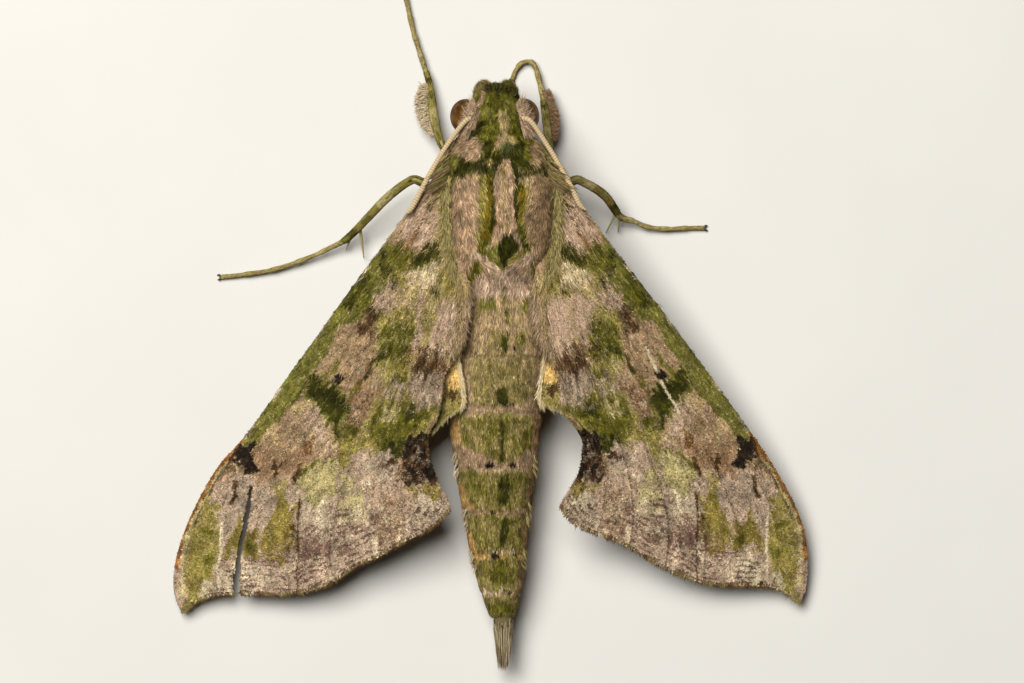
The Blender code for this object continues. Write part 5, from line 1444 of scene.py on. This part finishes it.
def make_forewing(side_name, turn, outline, tear, materials, chance):
    """One forewing: membrane, scales, hair at its root and fringes."""
    name = "forewing_" + side_name
    wing = Wing(name, outline, LEFT_FOREWING, forewing_level, FOREWING_VEINS, CELL_END, FOREWING_GRID,
                FOREWING_END, tear)
    skin, along, across = wing.skin, wing.along, wing.across
    colours = forewing_paint(wing, side_name, *wing.corners(), chance, 0.5)
    sheet = wing_sheet(name + "_membrane", skin, colours, materials["skin"], materials["under"])
    place(sheet, "wing_scales", name)
    for part, weight in (("inner", along < WING_HALVES), ("outer", along >= WING_HALVES)):
        row, side = skin.scatter(WING_COAT["per_mm2"], chance, weight)
        shorter = 1.25 - 0.55 * skin.at(along, row, side)
        coat = grown_coat("%s_%s_scales" % (name, part), skin, row, side, WING_COAT, SCALE,
                          forewing_paint(wing, side_name, row, side, chance), materials["coat"], chance,
                          length_share=shorter)
        place(coat, "wing_scales")
    row, side = skin.scatter(WING_HAIR["per_mm2"], chance, root_hair_weight(along, across))
    hair = grown_coat(name + "_root_hair", skin, row, side, WING_HAIR, STRAND,
                      forewing_paint(wing, side_name, row, side, chance), materials["coat"], chance, 0.18)
    place(hair, "wing_scales")
    wing.add_fringes((
        ("fringe", wing.tip_line(), FRINGE, fringe_colours, "tip", 0.0),
        ("inner_fringe", wing.inner_line(BASE_END), INNER_FRINGE, forewing_colours, turn, 0.0),
        ("base_fringe", wing.inner_line(0, BASE_END), BASE_FRINGE, forewing_colours, turn, 1.6),
    ), materials["coat"], chance, "wing_scales")


def make_hindwing(side_name, turn, outline, materials, chance):
    """One hindwing, under the forewing: membrane, scales and pale fringes."""
    name = "hindwing_" + side_name
    wing = Wing(name, outline, LEFT_HINDWING, hindwing_level, HINDWING_VEINS, None, HINDWING_GRID,
                HINDWING_END)
    skin = wing.skin
    colours = hindwing_colours(*wing.places(*wing.corners()), chance, 0.5)
    sheet = wing_sheet(name + "_membrane", skin, colours, materials["skin"], materials["under"])
    place(sheet, "hindwing_scales", name)
    row, side = skin.scatter(HIND_COAT["per_mm2"], chance, 0.4 + 0.6 * smooth(0.45, 0.7, wing.across))
    colours = hindwing_colours(*wing.places(row, side), chance)
    coat = grown_coat(name + "_scales", skin, row, side, HIND_COAT, SCALE, colours, materials["coat"],
                      chance)
    place(coat, "hindwing_scales")
    wing.add_fringes((
        ("fringe", wing.tip_line(), FRINGE, pale_fringe_colours, "tip", 0.0),
        ("inner_fringe", wing.inner_line(0), MARGIN_HAIR, margin_colours, turn, 7.0),
    ), materials["coat"], chance, "hindwing_scales")


def ring_values(row):
    """Centre, half width, middle and half height of the body at rows."""
    line = curve_through(BODY_RINGS, RING_STEPS)
    return [np.interp(row, line[:, 0], line[:, k]) for k in range(1, 5)]


def hump(low, high, value):
    """A smooth hump that is 0 at low and high and 1 half way."""
    return np.sin(np.pi * np.clip((value - low) / (high - low), 0, 1)) ** 0.7


def body_relief(row, side, up):
    """How far the body's surface stands out in mm: tegulae, collar, and the segments' lips and grooves."""
    rise = TEGULA_RISE * hump(*TEGULA_ROWS, row) * hump(*TEGULA_SIDES, side) * (up > 0)
    rise = rise + COLLAR_RISE * hump(*COLLAR_ROWS, row) * smooth(8, 16, side) * (up > 0)
    past = row[None] - np.array(SEGMENT_ENDS[:-1])[:, None, None]
    lip = np.where(past < 0, np.exp(past / LIP_REACH), 0).max(0) * LIP_RISE * (row > LIP_START)
    groove = np.exp(-((past - 2) / 3.0) ** 2).max(0) * GROOVE_DEPTH
    return rise + lip - groove


def body_skin():
    """Head, thorax and abdomen as one closed surface, inside the solids by the coat's depth."""
    first, last = BODY_RINGS[0][0], BODY_RINGS[-1][0]
    row, angle = np.meshgrid(np.linspace(first, last, BODY_ROWS), np.linspace(0, 2 * np.pi, BODY_SIDES + 1),
                             indexing="ij")
    centre, wide, middle, tall = ring_values(row)
    power = 2 / BODY_SQUARENESS
    across = np.sign(np.cos(angle)) * np.abs(np.cos(angle)) ** power
    up = np.sign(np.sin(angle)) * np.abs(np.sin(angle)) ** power
    grow = body_relief(row, np.abs(across) * wide, up) - np.interp(row, *zip(*COAT_DEPTHS))
    close = np.sqrt(np.clip((row - first + 1.0) / 7, 0.05, 1))
    close = close * np.sqrt(np.clip((last - row + 1.0) / 8, 0.05, 1))
    column = centre + across * (wide + grow * STEPS_PER_MM) * close
    height = middle + up * (tall + grow) * close
    skin = Skin(space(column, row, height), wrapped=True)
    return skin.face(UPWARD * up[..., None]), column, row


def comb(skin, column, row):
    """Lay the hair: forwards on the face, outwards behind the eyes, and inwards over the back."""
    side = np.abs(column - MIDLINE)
    inwards = INWARD_LIE * hump(*INWARD_SIDES, side) * between(*INWARD_ROWS, row)
    inwards += RUMP_LIE * hump(*RUMP_SIDES, side) * between(*RUMP_ROWS, row)
    inwards -= OUTWARD_LIE * smooth(*OUTWARD_SIDES, side) * between(*OUTWARD_ROWS, row)
    skin.lies = turned(skin.lies, skin.normals, np.where(column < MIDLINE, -1, 1) * inwards)
    skin.lies = skin.lies * np.where(row < FACE_ROW, -1.0, 1.0)[..., None]


def palp_surface(column):
    """A blunt, upturned mouth palp."""
    along, angle = np.meshgrid(np.linspace(-0.98, 0.985, 40), np.linspace(0, 2 * np.pi, 33), indexing="ij")
    round_off = np.sqrt(1 - along ** 2)
    x = column + np.cos(angle) * round_off * PALP_SIZE[0]
    row = PALP_ROW - along * PALP_SIZE[1]
    height = PALP_HEIGHT + PALP_LIFT * along + np.sin(angle) * round_off * PALP_SIZE[2]
    skin = Skin(space(x, row, height), wrapped=True)
    return skin.face(skin.points - skin.points.mean((0, 1)))


def capped_tube(skin):
    """Points and faces of a wrapped skin with both ends closed to a point."""
    rows, sides = skin.points.shape[:2]
    corners = np.arange(rows * (sides - 1)).reshape(rows, sides - 1)
    beside = np.roll(corners, -1, 1)
    quads = np.stack([corners[:-1], beside[:-1], beside[1:], corners[1:]], -1).reshape(-1, 4)
    tris = np.concatenate([quads[:, :3], quads[:, (0, 2, 3)]])
    first, last = rows * (sides - 1), rows * (sides - 1) + 1
    caps = [np.stack([beside[0], corners[0], np.full(sides - 1, first)], -1),
            np.stack([corners[-1], beside[-1], np.full(sides - 1, last)], -1)]
    faces = np.concatenate([tris, *caps])
    points = np.concatenate([skin.points[:, :-1].reshape(-1, 3), skin.points[0, :-1].mean(0)[None],
                             skin.points[-1, :-1].mean(0)[None]])
    face = points[faces[0]]
    wanted = skin.normals[0, 0]
    if np.dot(np.cross(face[1] - face[0], face[2] - face[0]), wanted) < 0:
        faces = faces[:, ::-1]
    return points, faces


def joined_object(name, parts, material):
    """One object from several closed parts of points, faces and colours."""
    points, faces, colours, start = [], [], [], 0
    for part_points, part_faces, part_colours in parts:
        points.append(part_points)
        faces.append(part_faces + start)
        colours.append(part_colours)
        start += len(part_points)
    points, faces, colours = (np.concatenate(values) for values in (points, faces, colours))
    return mesh_object(name, points, faces, material, colours)


def painted_part(skin, colours):
    """Points, faces and colours of a closed skin, with a colour for each place of its grid."""
    grid = colours.reshape(-1, skin.points.shape[1], 3)[:, :-1]
    return (*capped_tube(skin), np.concatenate([grid.reshape(-1, 3), grid[:1, 0], grid[-1:, 0]]))


def plain_part(skin, colour):
    """Points, faces and colours of a closed skin in one colour of the palette."""
    points, faces = capped_tube(skin)
    return points, faces, plain(colour, len(points))


def make_body(materials, chance):
    """The skin of head, palps, thorax and abdomen, and its coat in pieces."""
    skin, column, row = body_skin()
    comb(skin, column, row)
    up = skin.normals[..., 2]
    palps = {name: palp_surface(middle) for name, middle in PALPS.items()}
    parts = [painted_part(skin, body_colours(column.ravel(), row.ravel(), up.ravel(), chance, 0.5))]
    parts += [plain_part(palp, "buff") for palp in palps.values()]
    place(joined_object("body_skin", parts, materials["skin"]), "body_scales", "head", "thorax", "abdomen",
          *PALPS)
    for name, coat, start, end, sway in BODY_COATS:
        weight = between((start - 4, start + 4), (end - 4, end + 4), row)
        weight = weight * (0.25 + 0.75 * smooth(-0.4, 0.1, up))
        r, s = skin.scatter(coat["per_mm2"], chance, weight)
        places = skin.at(column, r, s), skin.at(row, r, s)
        colours = body_colours(*places, skin.at(up, r, s), chance)
        tuft = grown_coat(name, skin, r, s, coat, STRAND, colours, materials["coat"], chance, sway,
                          length_share=coat_lengths(places[1]))
        place(tuft, "body_scales")
    for name, palp in palps.items():
        make_palp_coat(name, palp, materials["coat"], chance)


def coat_lengths(row):
    """How much longer or shorter than its coat's own length the hair is at rows."""
    face = 0.75 + 0.25 * smooth(90, 110, row)
    collar = 0.75 + 0.25 * smooth(140, 185, row)
    rump = 1 + 0.25 * between((250, 275), (290, WAIST_ROW), row)
    abdomen = 1 + 0.5 * (1 - smooth(290, 350, row))
    return np.where(row > WAIST_ROW, abdomen, np.where(row > NECK_ROW, collar * rump, face))


def make_palp_coat(name, palp, material, chance):
    """The hair of a palp, green where it faces up."""
    row, side = palp.scatter(PALP_COAT["per_mm2"], chance)
    colours = plain("moss", len(row))
    dust(colours, PALP_COLOURS, chance)
    green = PALP_GREEN[name] * smooth(-0.2, 0.6, palp.at(palp.normals, row, side)[:, 2])
    lay(colours, "green", green, chance.random(len(row)))
    place(grown_coat(name + "_coat", palp, row, side, PALP_COAT, STRAND, colours, material, chance, 0.35),
          "body_scales")


def tube_skin(path, rows, sides, swell=None):
    """A tube along (column, row, height mm, radius mm), and the shares along it of its rows."""
    share = np.linspace(0, 1, rows)
    walked = walk(smooth_line(path), share)
    centres = space(walked[:, 0], walked[:, 1], walked[:, 2])
    heading = unit(np.gradient(centres, axis=0))
    beside = unit(np.cross(heading, UPWARD))
    upward = np.cross(beside, heading)
    radius = walked[:, 3] * MM
    if swell is not None:
        radius = radius * swell(share)
    angle = np.linspace(0, 2 * np.pi, sides + 1)
    around = beside[:, None] * np.cos(angle)[None, :, None] + upward[:, None] * np.sin(angle)[None, :, None]
    points = centres[:, None] + around * radius[:, None, None]
    points[..., 2] = np.maximum(points[..., 2], 0.01 * MM)
    return Skin(points, wrapped=True).face(around), share


def leg_colours(share, up, name, chance):
    """Olive shanks with paler rings at the joints of the foot."""
    colours = plain("shin", len(share))
    own = chance.random(len(share))
    foot = share > TARSUS_START
    lay(colours, "olive", np.full(len(share), 0.4), own)
    if not name.startswith("foreleg"):
        second = "brown" if name.endswith("right") else "olive"
        lay(colours, second, np.full(len(share), 0.5), 1 - own)
    lay(colours, "rose", 0.6 * (1 - smooth(-0.2, 0.2, up)), own)
    for choice, strength, seed in LEG_SPOTS:
        spots = smooth(0.5, 0.62, noise(share * LEG_STEPS, up * 9, 5, seed))
        lay(colours, choice, strength * spots * (share < TARSUS_START + 0.1), own, 0.5)
    joints = foot_joints(share)
    ring = np.abs(joints - np.round(joints)) * foot
    lay(colours, "straw", 0.45 * foot, 1 - own)
    lay(colours, "brown", 0.3 * foot * smooth(0.1, 0.3, ring), own)
    return colours


def foot_joints(share):
    """How many of the foot's joints lie before each place of a leg."""
    return np.clip((share - TARSUS_START) / (1 - TARSUS_START), 0, 1) * TARSUS_JOINTS


def joint_swelling(share):
    """A foot that thickens at the far end of each of its joints."""
    joints = foot_joints(share)
    return np.where(share > TARSUS_START, 0.66 + 0.2 * (joints - np.floor(joints)) ** 2, 0.78)


def claw_path(tip, heading, side):
    """One of the two small hooked claws at the end of a foot."""
    column, row, height, _ = tip
    out = Vector(heading).normalized()
    reach = out * 1.6 + Vector((-out.y, out.x)) * side * 2.2
    return ((column, row, height, 0.1), (column + reach.x, row + reach.y, height + 0.02, 0.09),
            (column + reach.x + out.x * 2.2, row + reach.y + out.y * 2.2, max(height - 0.12, 0.1), 0.03))


def make_claws(name, path, material):
    """The pair of claws at the end of a leg."""
    heading = (path[-1][0] - path[-2][0], path[-1][1] - path[-2][1])
    claws = [tube_skin(claw_path(path[-1], heading, side), 12, 8)[0] for side in (-1, 1)]
    parts = [plain_part(claw, "umber") for claw in claws]
    place(joined_object(name + "_claws", parts, material), "leg_scales")


def make_leg(name, path, materials, chance):
    """A leg with its spurs and its coat of flat scales."""
    skin, share = tube_skin(path, LEG_ROWS, LEG_SIDES, joint_swelling)
    shares = np.repeat(share[:, None], LEG_SIDES + 1, 1)
    colours = leg_colours(shares.ravel(), skin.normals[..., 2].ravel(), name, chance)
    parts = [painted_part(skin, colours)]
    for start, end in SPURS[name]:
        spur_path = ((*start, SPUR_RADIUS), (*end, SPUR_RADIUS * 0.3))
        parts.append(plain_part(tube_skin(spur_path, 14, 8)[0], "straw"))
    place(joined_object(name + "_skin", parts, materials["skin"]), "leg_scales", name)
    make_claws(name, path, materials["claw"])
    row, side = skin.scatter(LEG_COAT["per_mm2"], chance)
    along = skin.at(shares, row, side)
    colours = leg_colours(along, skin.at(skin.normals, row, side)[:, 2], name, chance)
    coat = grown_coat(name + "_scales", skin, row, side, LEG_COAT, STRAND, colours, materials["coat"],
                      chance, length_share=1 - 0.45 * smooth(0.5, 0.7, along))
    place(coat, "leg_scales")


def free_tufts(name, roots, tips, width, colours, unwraps, material, bend, slot="body_scales"):
    """Long tufts between given roots and tips, bending upwards by a share of their length."""
    lies = unit(tips - roots)
    lengths = np.linalg.norm(tips - roots, axis=1) / MM
    normals = unit(UPWARD - lies * lies[:, 2:])
    widths, bends = np.full(len(roots), width), np.full(len(roots), bend)
    place(tufts(name, material, LOCK, roots, lies, normals, lengths, widths, bends, colours, unwraps), slot)


def body_unwrap(row, across):
    """Places on the unwrap for free tufts of the body, by row and by how far to the side they are."""
    start, length = BODY_UNWRAP
    return np.stack([0.02 + 0.96 * (row - start) / length, 0.5 + across], 1)


def make_leg_fringe(name, material, chance):
    """Long scales along the outer side of a fore shin."""
    chain, reaches, out, (ground, over) = FORELEG_FRINGES[name]
    count = FORELEG_FRINGE_HAIRS
    share = chance.random(count)
    known = np.linspace(0, 1, len(chain))
    column, row = (np.interp(share, known, values) for values in np.array(chain, float).T)
    edge = np.interp(share, known, reaches)
    short = chance.random(count) < SHORT_SHARE
    start = np.where(short, edge * chance.uniform(0, 0.75, count), -chance.uniform(0, 3.5, count))
    length = np.where(short, chance.uniform(2.5, 5, count), edge * chance.uniform(0.45, 1.05, count) + 2)
    column = column + out * start
    height = np.interp(share, (0, 1), FORELEG_FRINGE_HEIGHTS) + chance.normal(0, 0.1, count) + 0.12 * short
    roots = space(column, row, height)
    back = chance.normal(0.32, np.where(short, 0.6, 0.2), count)
    tips = space(column + out * length, row + length * back, np.maximum(height - 0.03 * length, 0.15))
    colours = plain(ground, count)
    dust(colours, ((over, 0.5),), chance)
    unwraps = np.stack([0.02 + 0.96 * share, chance.uniform(0.02, 0.98, count)], 1)
    free_tufts(name + "_fringe", roots, tips, 0.09, vary(colours, chance, 0.22), unwraps, material, 0.08,
               "leg_scales")


def top_height(column, row):
    """Height in mm of whatever is uppermost: the body's back or the wing's upper side."""
    centre, wide, middle, tall = ring_values(row)
    off = np.clip(np.abs(column - centre) / wide, 0, 0.999)
    back = middle + tall * (1 - off ** BODY_SQUARENESS) ** (1 / BODY_SQUARENESS) - 0.3
    return np.maximum(back, forewing_level(column, row, 0.8) + WING_SURFACE)


def make_brow(name, spot, material, chance):
    """Scales of the head that reach out over the inner part of an eye."""
    column, row, height = spot
    out = -1 if column < MIDLINE else 1
    along = chance.uniform(-1, 1, BROW_COUNT)
    place_row = row + along * BROW_LENGTH
    centre, wide, middle, tall = ring_values(place_row)
    inset = chance.uniform(0.7, 0.97, BROW_COUNT)
    rise = tall * (1 - inset ** BODY_SQUARENESS) ** (1 / BODY_SQUARENESS)
    roots = space(centre + out * wide * inset, place_row, middle + rise * 0.97)
    arch = np.sqrt(np.clip(1 - (along * 0.9) ** 2, 0, 1))
    far = wide * (inset + 0.07) + BROW_REACH[name] * arch * chance.uniform(0.0, 1.25, BROW_COUNT)
    tip_height = np.maximum(middle + rise * 0.85, height + EYE_RADII[2] * (0.5 + 0.56 * arch))
    tip_height = tip_height + chance.normal(0.08, 0.1, BROW_COUNT)
    tips = space(centre + out * far, place_row + chance.normal(3.5, 6.0, BROW_COUNT), tip_height)
    colours = plain("pink", BROW_COUNT)
    dust(colours, BROW_COLOURS, chance)
    free_tufts(name + "_brow", roots, tips, 0.065, gappy(colours * BROW_GAIN, chance, 0.3),
               body_unwrap(place_row, 0.3 * out * inset), material, chance.uniform(0.05, 0.3, BROW_COUNT))


def make_seam_hair(side_name, side, material, chance):
    """Hair of the tegula and the wing's root that lies back over the seam between body and wing."""
    rows, offsets = np.array(SEAM_PATH).T
    row = chance.uniform(rows[0], rows[-1], SEAM_HAIRS)
    offset = np.interp(row, rows, offsets) + chance.normal(0, SEAM_SPREAD, SEAM_HAIRS)
    column = SEAM_MIDDLE + side * offset
    length = SEAM_LENGTH * STEPS_PER_MM * chance.uniform(0.6, 1.1, SEAM_HAIRS)
    angle = chance.normal(0.06, 0.22, SEAM_HAIRS) + 0.5 * (noise(column, row, 5, 55) - 0.5)
    far_column = column + side * length * np.sin(angle)
    far_row = row + length * np.cos(angle)
    lifted = chance.uniform(0.05, 0.26, SEAM_HAIRS)
    roots = space(column, row, top_height(column, row))
    tips = space(far_column, far_row, top_height(far_column, far_row) + lifted)
    tegula = plain("olive", SEAM_HAIRS)
    dust(tegula, (("buff", 0.55), ("straw", 0.6)), chance)
    # The wing's colours blended with buff and 15 % lighter in all: the seam's own buff, with painted light
    # that makes up for the shade over the seam.
    wing = 0.5 * forewing_colours(SEAM_MIDDLE - offset, row, chance) + 0.65 * PALETTE["buff"]
    share = smooth(*SEAM_FADE, row)[:, None]
    colours = gappy(tegula * (1 - share) + wing * share, chance, 0.26)
    free_tufts("seam_hair_" + side_name, roots, tips, 0.08, colours,
               body_unwrap(row, 0.35 * side * offset / 60), material, 0.06)


def make_shoulder_hair(side_name, side, material, chance):
    """Hair that spreads from the collar's side out to the front edge of the wing."""
    share = chance.random(SHOULDER_HAIRS)
    row = SHOULDER_ROWS[0] + (SHOULDER_ROWS[1] - SHOULDER_ROWS[0]) * share
    centre, wide, middle, tall = ring_values(row)
    start = centre + side * wide * chance.uniform(0.8, 0.97, SHOULDER_HAIRS)
    reach = chance.uniform(4, 13, SHOULDER_HAIRS) * (0.45 + 1.5 * share)
    height = middle + tall * chance.uniform(0.15, 0.6, SHOULDER_HAIRS)
    roots = space(start, row, height)
    tips = space(start + side * reach, row + chance.uniform(7, 14, SHOULDER_HAIRS),
                 np.maximum(height - 0.2, SHOULDER_LEVEL))
    colours = plain("buff", SHOULDER_HAIRS)
    dust(colours, (("grass", 0.5), ("pink", 0.3)), chance)
    free_tufts("shoulder_hair_" + side_name, roots, tips, 0.08, gappy(colours, chance, 0.26),
               body_unwrap(row, 0.38 * side * share), material, 0.1)


def make_front_hair(material, chance):
    """Hair at the very front of the head, standing forward over the palps."""
    across = chance.uniform(-1, 1, FRONT_HAIRS)
    row = 85.5 + 5 * chance.random(FRONT_HAIRS) + 8 * across ** 2
    centre, wide, middle, tall = ring_values(row)
    column = centre + across * 18
    back = middle + tall * np.sqrt(np.clip(1 - ((column - centre) / wide) ** 2, 0.05, 1)) - 0.25
    roots = space(column, row, back)
    length = chance.uniform(2.5, 6, FRONT_HAIRS)
    tips = space(column + across * 2 + chance.normal(0, 2.6, FRONT_HAIRS), np.maximum(row - length, 80.5),
                 back + chance.normal(-0.05, 0.15, FRONT_HAIRS))
    colours = body_colours(column, row, np.ones(FRONT_HAIRS), chance)
    colours += (PALETTE["buff"] - colours) * chance.uniform(0, 0.45, (FRONT_HAIRS, 1)) ** 1.5
    free_tufts("front_hair", roots, tips, 0.06, gappy(colours, chance, 0.35),
               body_unwrap(row, 0.3 * across), material, 0.15)


def flank_slivers(side, start, end, chance):
    """Roots, tips, colours and unwrap of the slivers at one place of a flank."""
    count = FLANK_SLIVERS
    row = start + (end - start) * 0.85 * chance.random(count)
    centre, wide, middle, tall = ring_values(row)
    low = chance.uniform(-0.3, 0.6, count)
    out = wide - 2.5 - 5 * np.abs(low)
    roots = space(centre + side * out, row, middle + tall * low)
    far = row + chance.uniform(4, 10, count)
    spread = wide + chance.uniform(-3.5, 0.6, count)
    tips = space(centre + side * spread, far, middle + tall * low * 0.8)
    colours = plain("cream" if side < 0 else "straw", count)
    return roots, tips, colours, body_unwrap(row, 0.4 * side * np.abs(low))


def make_flank_tufts(material, chance):
    """Small cream slivers of scales that stand out along both flanks of the abdomen."""
    slivers = [flank_slivers(*lock, chance) for lock in FLANK_LOCKS]
    roots, tips, colours, unwraps = (np.concatenate(values) for values in zip(*slivers))
    free_tufts("flank_tufts", roots, tips, 0.08, vary(colours, chance, 0.25), unwraps, material, 0.05)


def make_tail(materials, chance):
    """The pencil of long scales at the tip of the abdomen."""
    count = TAIL_LOCKS
    angle = chance.uniform(0, 2 * np.pi, count)
    out = np.sqrt(chance.random(count)) * TAIL_SPREAD
    start = TAIL_ROOT_ROW + chance.uniform(0, TAIL_ROOT_LENGTH, count)
    beside, above = np.cos(angle) * out, np.sin(angle) * out
    roots = space(TAIL_COLUMN + beside * STEPS_PER_MM, start, TAIL_HEIGHT + above)
    reach = chance.random(count)
    far = TAIL_TIP_ROWS[0] + (TAIL_TIP_ROWS[1] - TAIL_TIP_ROWS[0]) * reach ** 1.2
    narrow = np.interp(far, TAIL_TIP_ROWS, (0.95, 0.62)) * chance.uniform(0.5, 1, count)
    tips = space(TAIL_COLUMN + beside * narrow * STEPS_PER_MM, far, TAIL_HEIGHT - 0.1 + above * narrow)
    colours = plain("grey", count)
    dust(colours, (("cream", 0.5), ("umber", 0.3)), chance)
    unwraps = np.stack([0.02 + 0.96 * (start - TAIL_ROOT_ROW) / TAIL_ROOT_LENGTH, angle / (2 * np.pi)], 1)
    free_tufts("tail_tuft_locks", roots, tips, 0.075, vary(colours, chance, 0.25), unwraps,
               materials["coat"], 0.02, "tail_scales")
    core_path = [(TAIL_COLUMN, row, TAIL_HEIGHT - drop, radius) for row, drop, radius in TAIL_CORE]
    points, faces, colours = plain_part(tube_skin(core_path, 50, 24)[0], "grey")
    place(mesh_object("tail_tuft_core", points, faces, materials["skin"], colours * 0.7), "tail_scales",
          "tail_tuft")


def ring_swelling(share):
    """The swelling of each ring of a feeler."""
    return 0.84 + 0.18 * np.abs(np.sin(np.pi * share * ANTENNA_RINGS)) ** 0.6


def make_antenna(name, places, material):
    """A ringed feeler that thickens towards its end and stops in a fine hook."""
    path = [(*spot, radius) for spot, radius in zip(places, ANTENNA_RADII)]
    skin, share = tube_skin(path, ANTENNA_RINGS * 8, ANTENNA_SIDES, ring_swelling)
    crest = np.repeat(ring_swelling(share), ANTENNA_SIDES + 1)
    groove = 1 - smooth(0.86, 0.97, crest)
    colours = plain("feeler", len(crest)) * (1 - ANTENNA_GROOVE * groove[:, None])
    low = 1 - smooth(-0.5, 0.1, skin.normals[..., 2].ravel())
    colours += (PALETTE["brown"] - colours) * 0.5 * low[:, None]
    points, faces, colours = painted_part(skin, colours)
    place(mesh_object(name + "_rings", points, faces, material, colours), "antenna", name)


def make_eye(name, spot, material):
    """A domed compound eye."""
    limit = np.pi / 2 - 0.02
    up, around = np.meshgrid(np.linspace(-limit, limit, 60), np.linspace(0, 2 * np.pi, 97), indexing="ij")
    shape = np.stack([np.cos(up) * np.cos(around), np.cos(up) * np.sin(around), np.sin(up)], -1)
    skin = Skin(space(*spot) + shape * np.array(EYE_RADII) * MM, wrapped=True).face(shape)
    place(mesh_object(name + "_facets", *capped_tube(skin), material), "eye", name)


def make_floor():
    """A pale, faintly mottled floor."""
    material, tree, surface = new_material("floor", 0.9, 0.2)
    _, ramp = mottled(tree, 60.0, 0.97, 1.0)
    colour = add_node(tree, "ShaderNodeVectorMath", operation="SCALE")
    colour.inputs[0].default_value = tint(*FLOOR_COLOUR)
    tree.links.new(ramp.outputs["Result"], colour.inputs["Scale"])
    tree.links.new(colour.outputs["Vector"], surface.inputs["Base Color"])
    half = FLOOR_SIZE / 2
    corners = np.array([(-half, -half, 0), (half, -half, 0), (half, half, 0), (-half, half, 0)])
    mesh_object("floor", corners, np.array([(0, 1, 2, 3)]), material)


def make_light():
    """A soft key light and a soft sky."""
    light = bpy.data.lights.new("key", "AREA")
    light.energy = KEY_POWER
    light.size = KEY_SIZE
    lamp = bpy.data.objects.new("key", light)
    lamp.location = KEY_PLACE
    lamp.rotation_euler = (-Vector(KEY_PLACE)).to_track_quat("-Z", "Y").to_euler()
    bpy.context.scene.collection.objects.link(lamp)
    world = bpy.data.worlds.new("sky")
    world.use_nodes = True
    world.node_tree.nodes["Background"].inputs["Strength"].default_value = SKY_STRENGTH
    bpy.context.scene.world = world
    bpy.context.scene.view_settings.view_transform = "Standard"


def make_camera():
    """The camera straight above."""
    data = bpy.data.cameras.new("camera")
    data.lens = LENS
    data.sensor_width = SENSOR
    data.clip_start = 0.01
    camera = bpy.data.objects.new("camera", data)
    camera.location = Vector(space(VIEW_COLUMN, VIEW_ROW, VIEW_LEVEL)) + Vector((0, 0, VIEW_HEIGHT * MM))
    bpy.context.scene.collection.objects.link(camera)
    bpy.context.scene.camera = camera


def make_materials():
    """The surfaces that take their colours from the meshes."""
    return {
        "skin": scaly_material("scaled_skin", dark=0.72, light=1.12),
        "under": scaly_material("wing_underside", dark=0.7, light=1.15),
        "coat": scaly_material("scales", scale=5000.0, bump=0.2, dark=0.86, light=1.14),
        "claw": scaly_material("claw", bump=0.1, roughness=0.45, specular=0.4, dark=0.9, light=1.1),
        "feeler": scaly_material("feeler", bump=0.2, roughness=0.6, dark=0.9, light=1.1),
    }


def make_free_hair(material, chance):
    """Brows, front hair, shoulder hair, seam hair and the slivers of the flanks."""
    for name, spot in EYES.items():
        make_brow(name, spot, material, chance)
    make_front_hair(material, chance)
    for side_name, side in SIDES:
        make_shoulder_hair(side_name, side, material, chance)
    for side_name, side in SIDES:
        make_seam_hair(side_name, side, material, chance)
    make_flank_tufts(material, chance)


def main():
    """Make the stage and every piece, drawing all chance from one seed."""
    chance = np.random.default_rng(7)
    materials = make_materials()
    make_floor()
    make_light()
    make_camera()
    make_body(materials, chance)
    make_free_hair(materials["coat"], chance)
    make_tail(materials, chance)
    eye = eye_material()
    for name, spot in EYES.items():
        make_eye(name, spot, eye)
    for name, places in ANTENNAE.items():
        make_antenna(name, places, materials["feeler"])
    for name, path in LEGS.items():
        make_leg(name, path, materials, chance)
    for name in FORELEG_FRINGES:
        make_leg_fringe(name, materials["coat"], chance)
    make_forewing("left", -1.0, LEFT_FOREWING, LEFT_TEAR, materials, chance)
    make_forewing("right", 1.0, RIGHT_FOREWING, RIGHT_NICK, materials, chance)
    make_hindwing("left", -1.0, LEFT_HINDWING, materials, chance)
    make_hindwing("right", 1.0, RIGHT_HINDWING, materials, chance)


main()
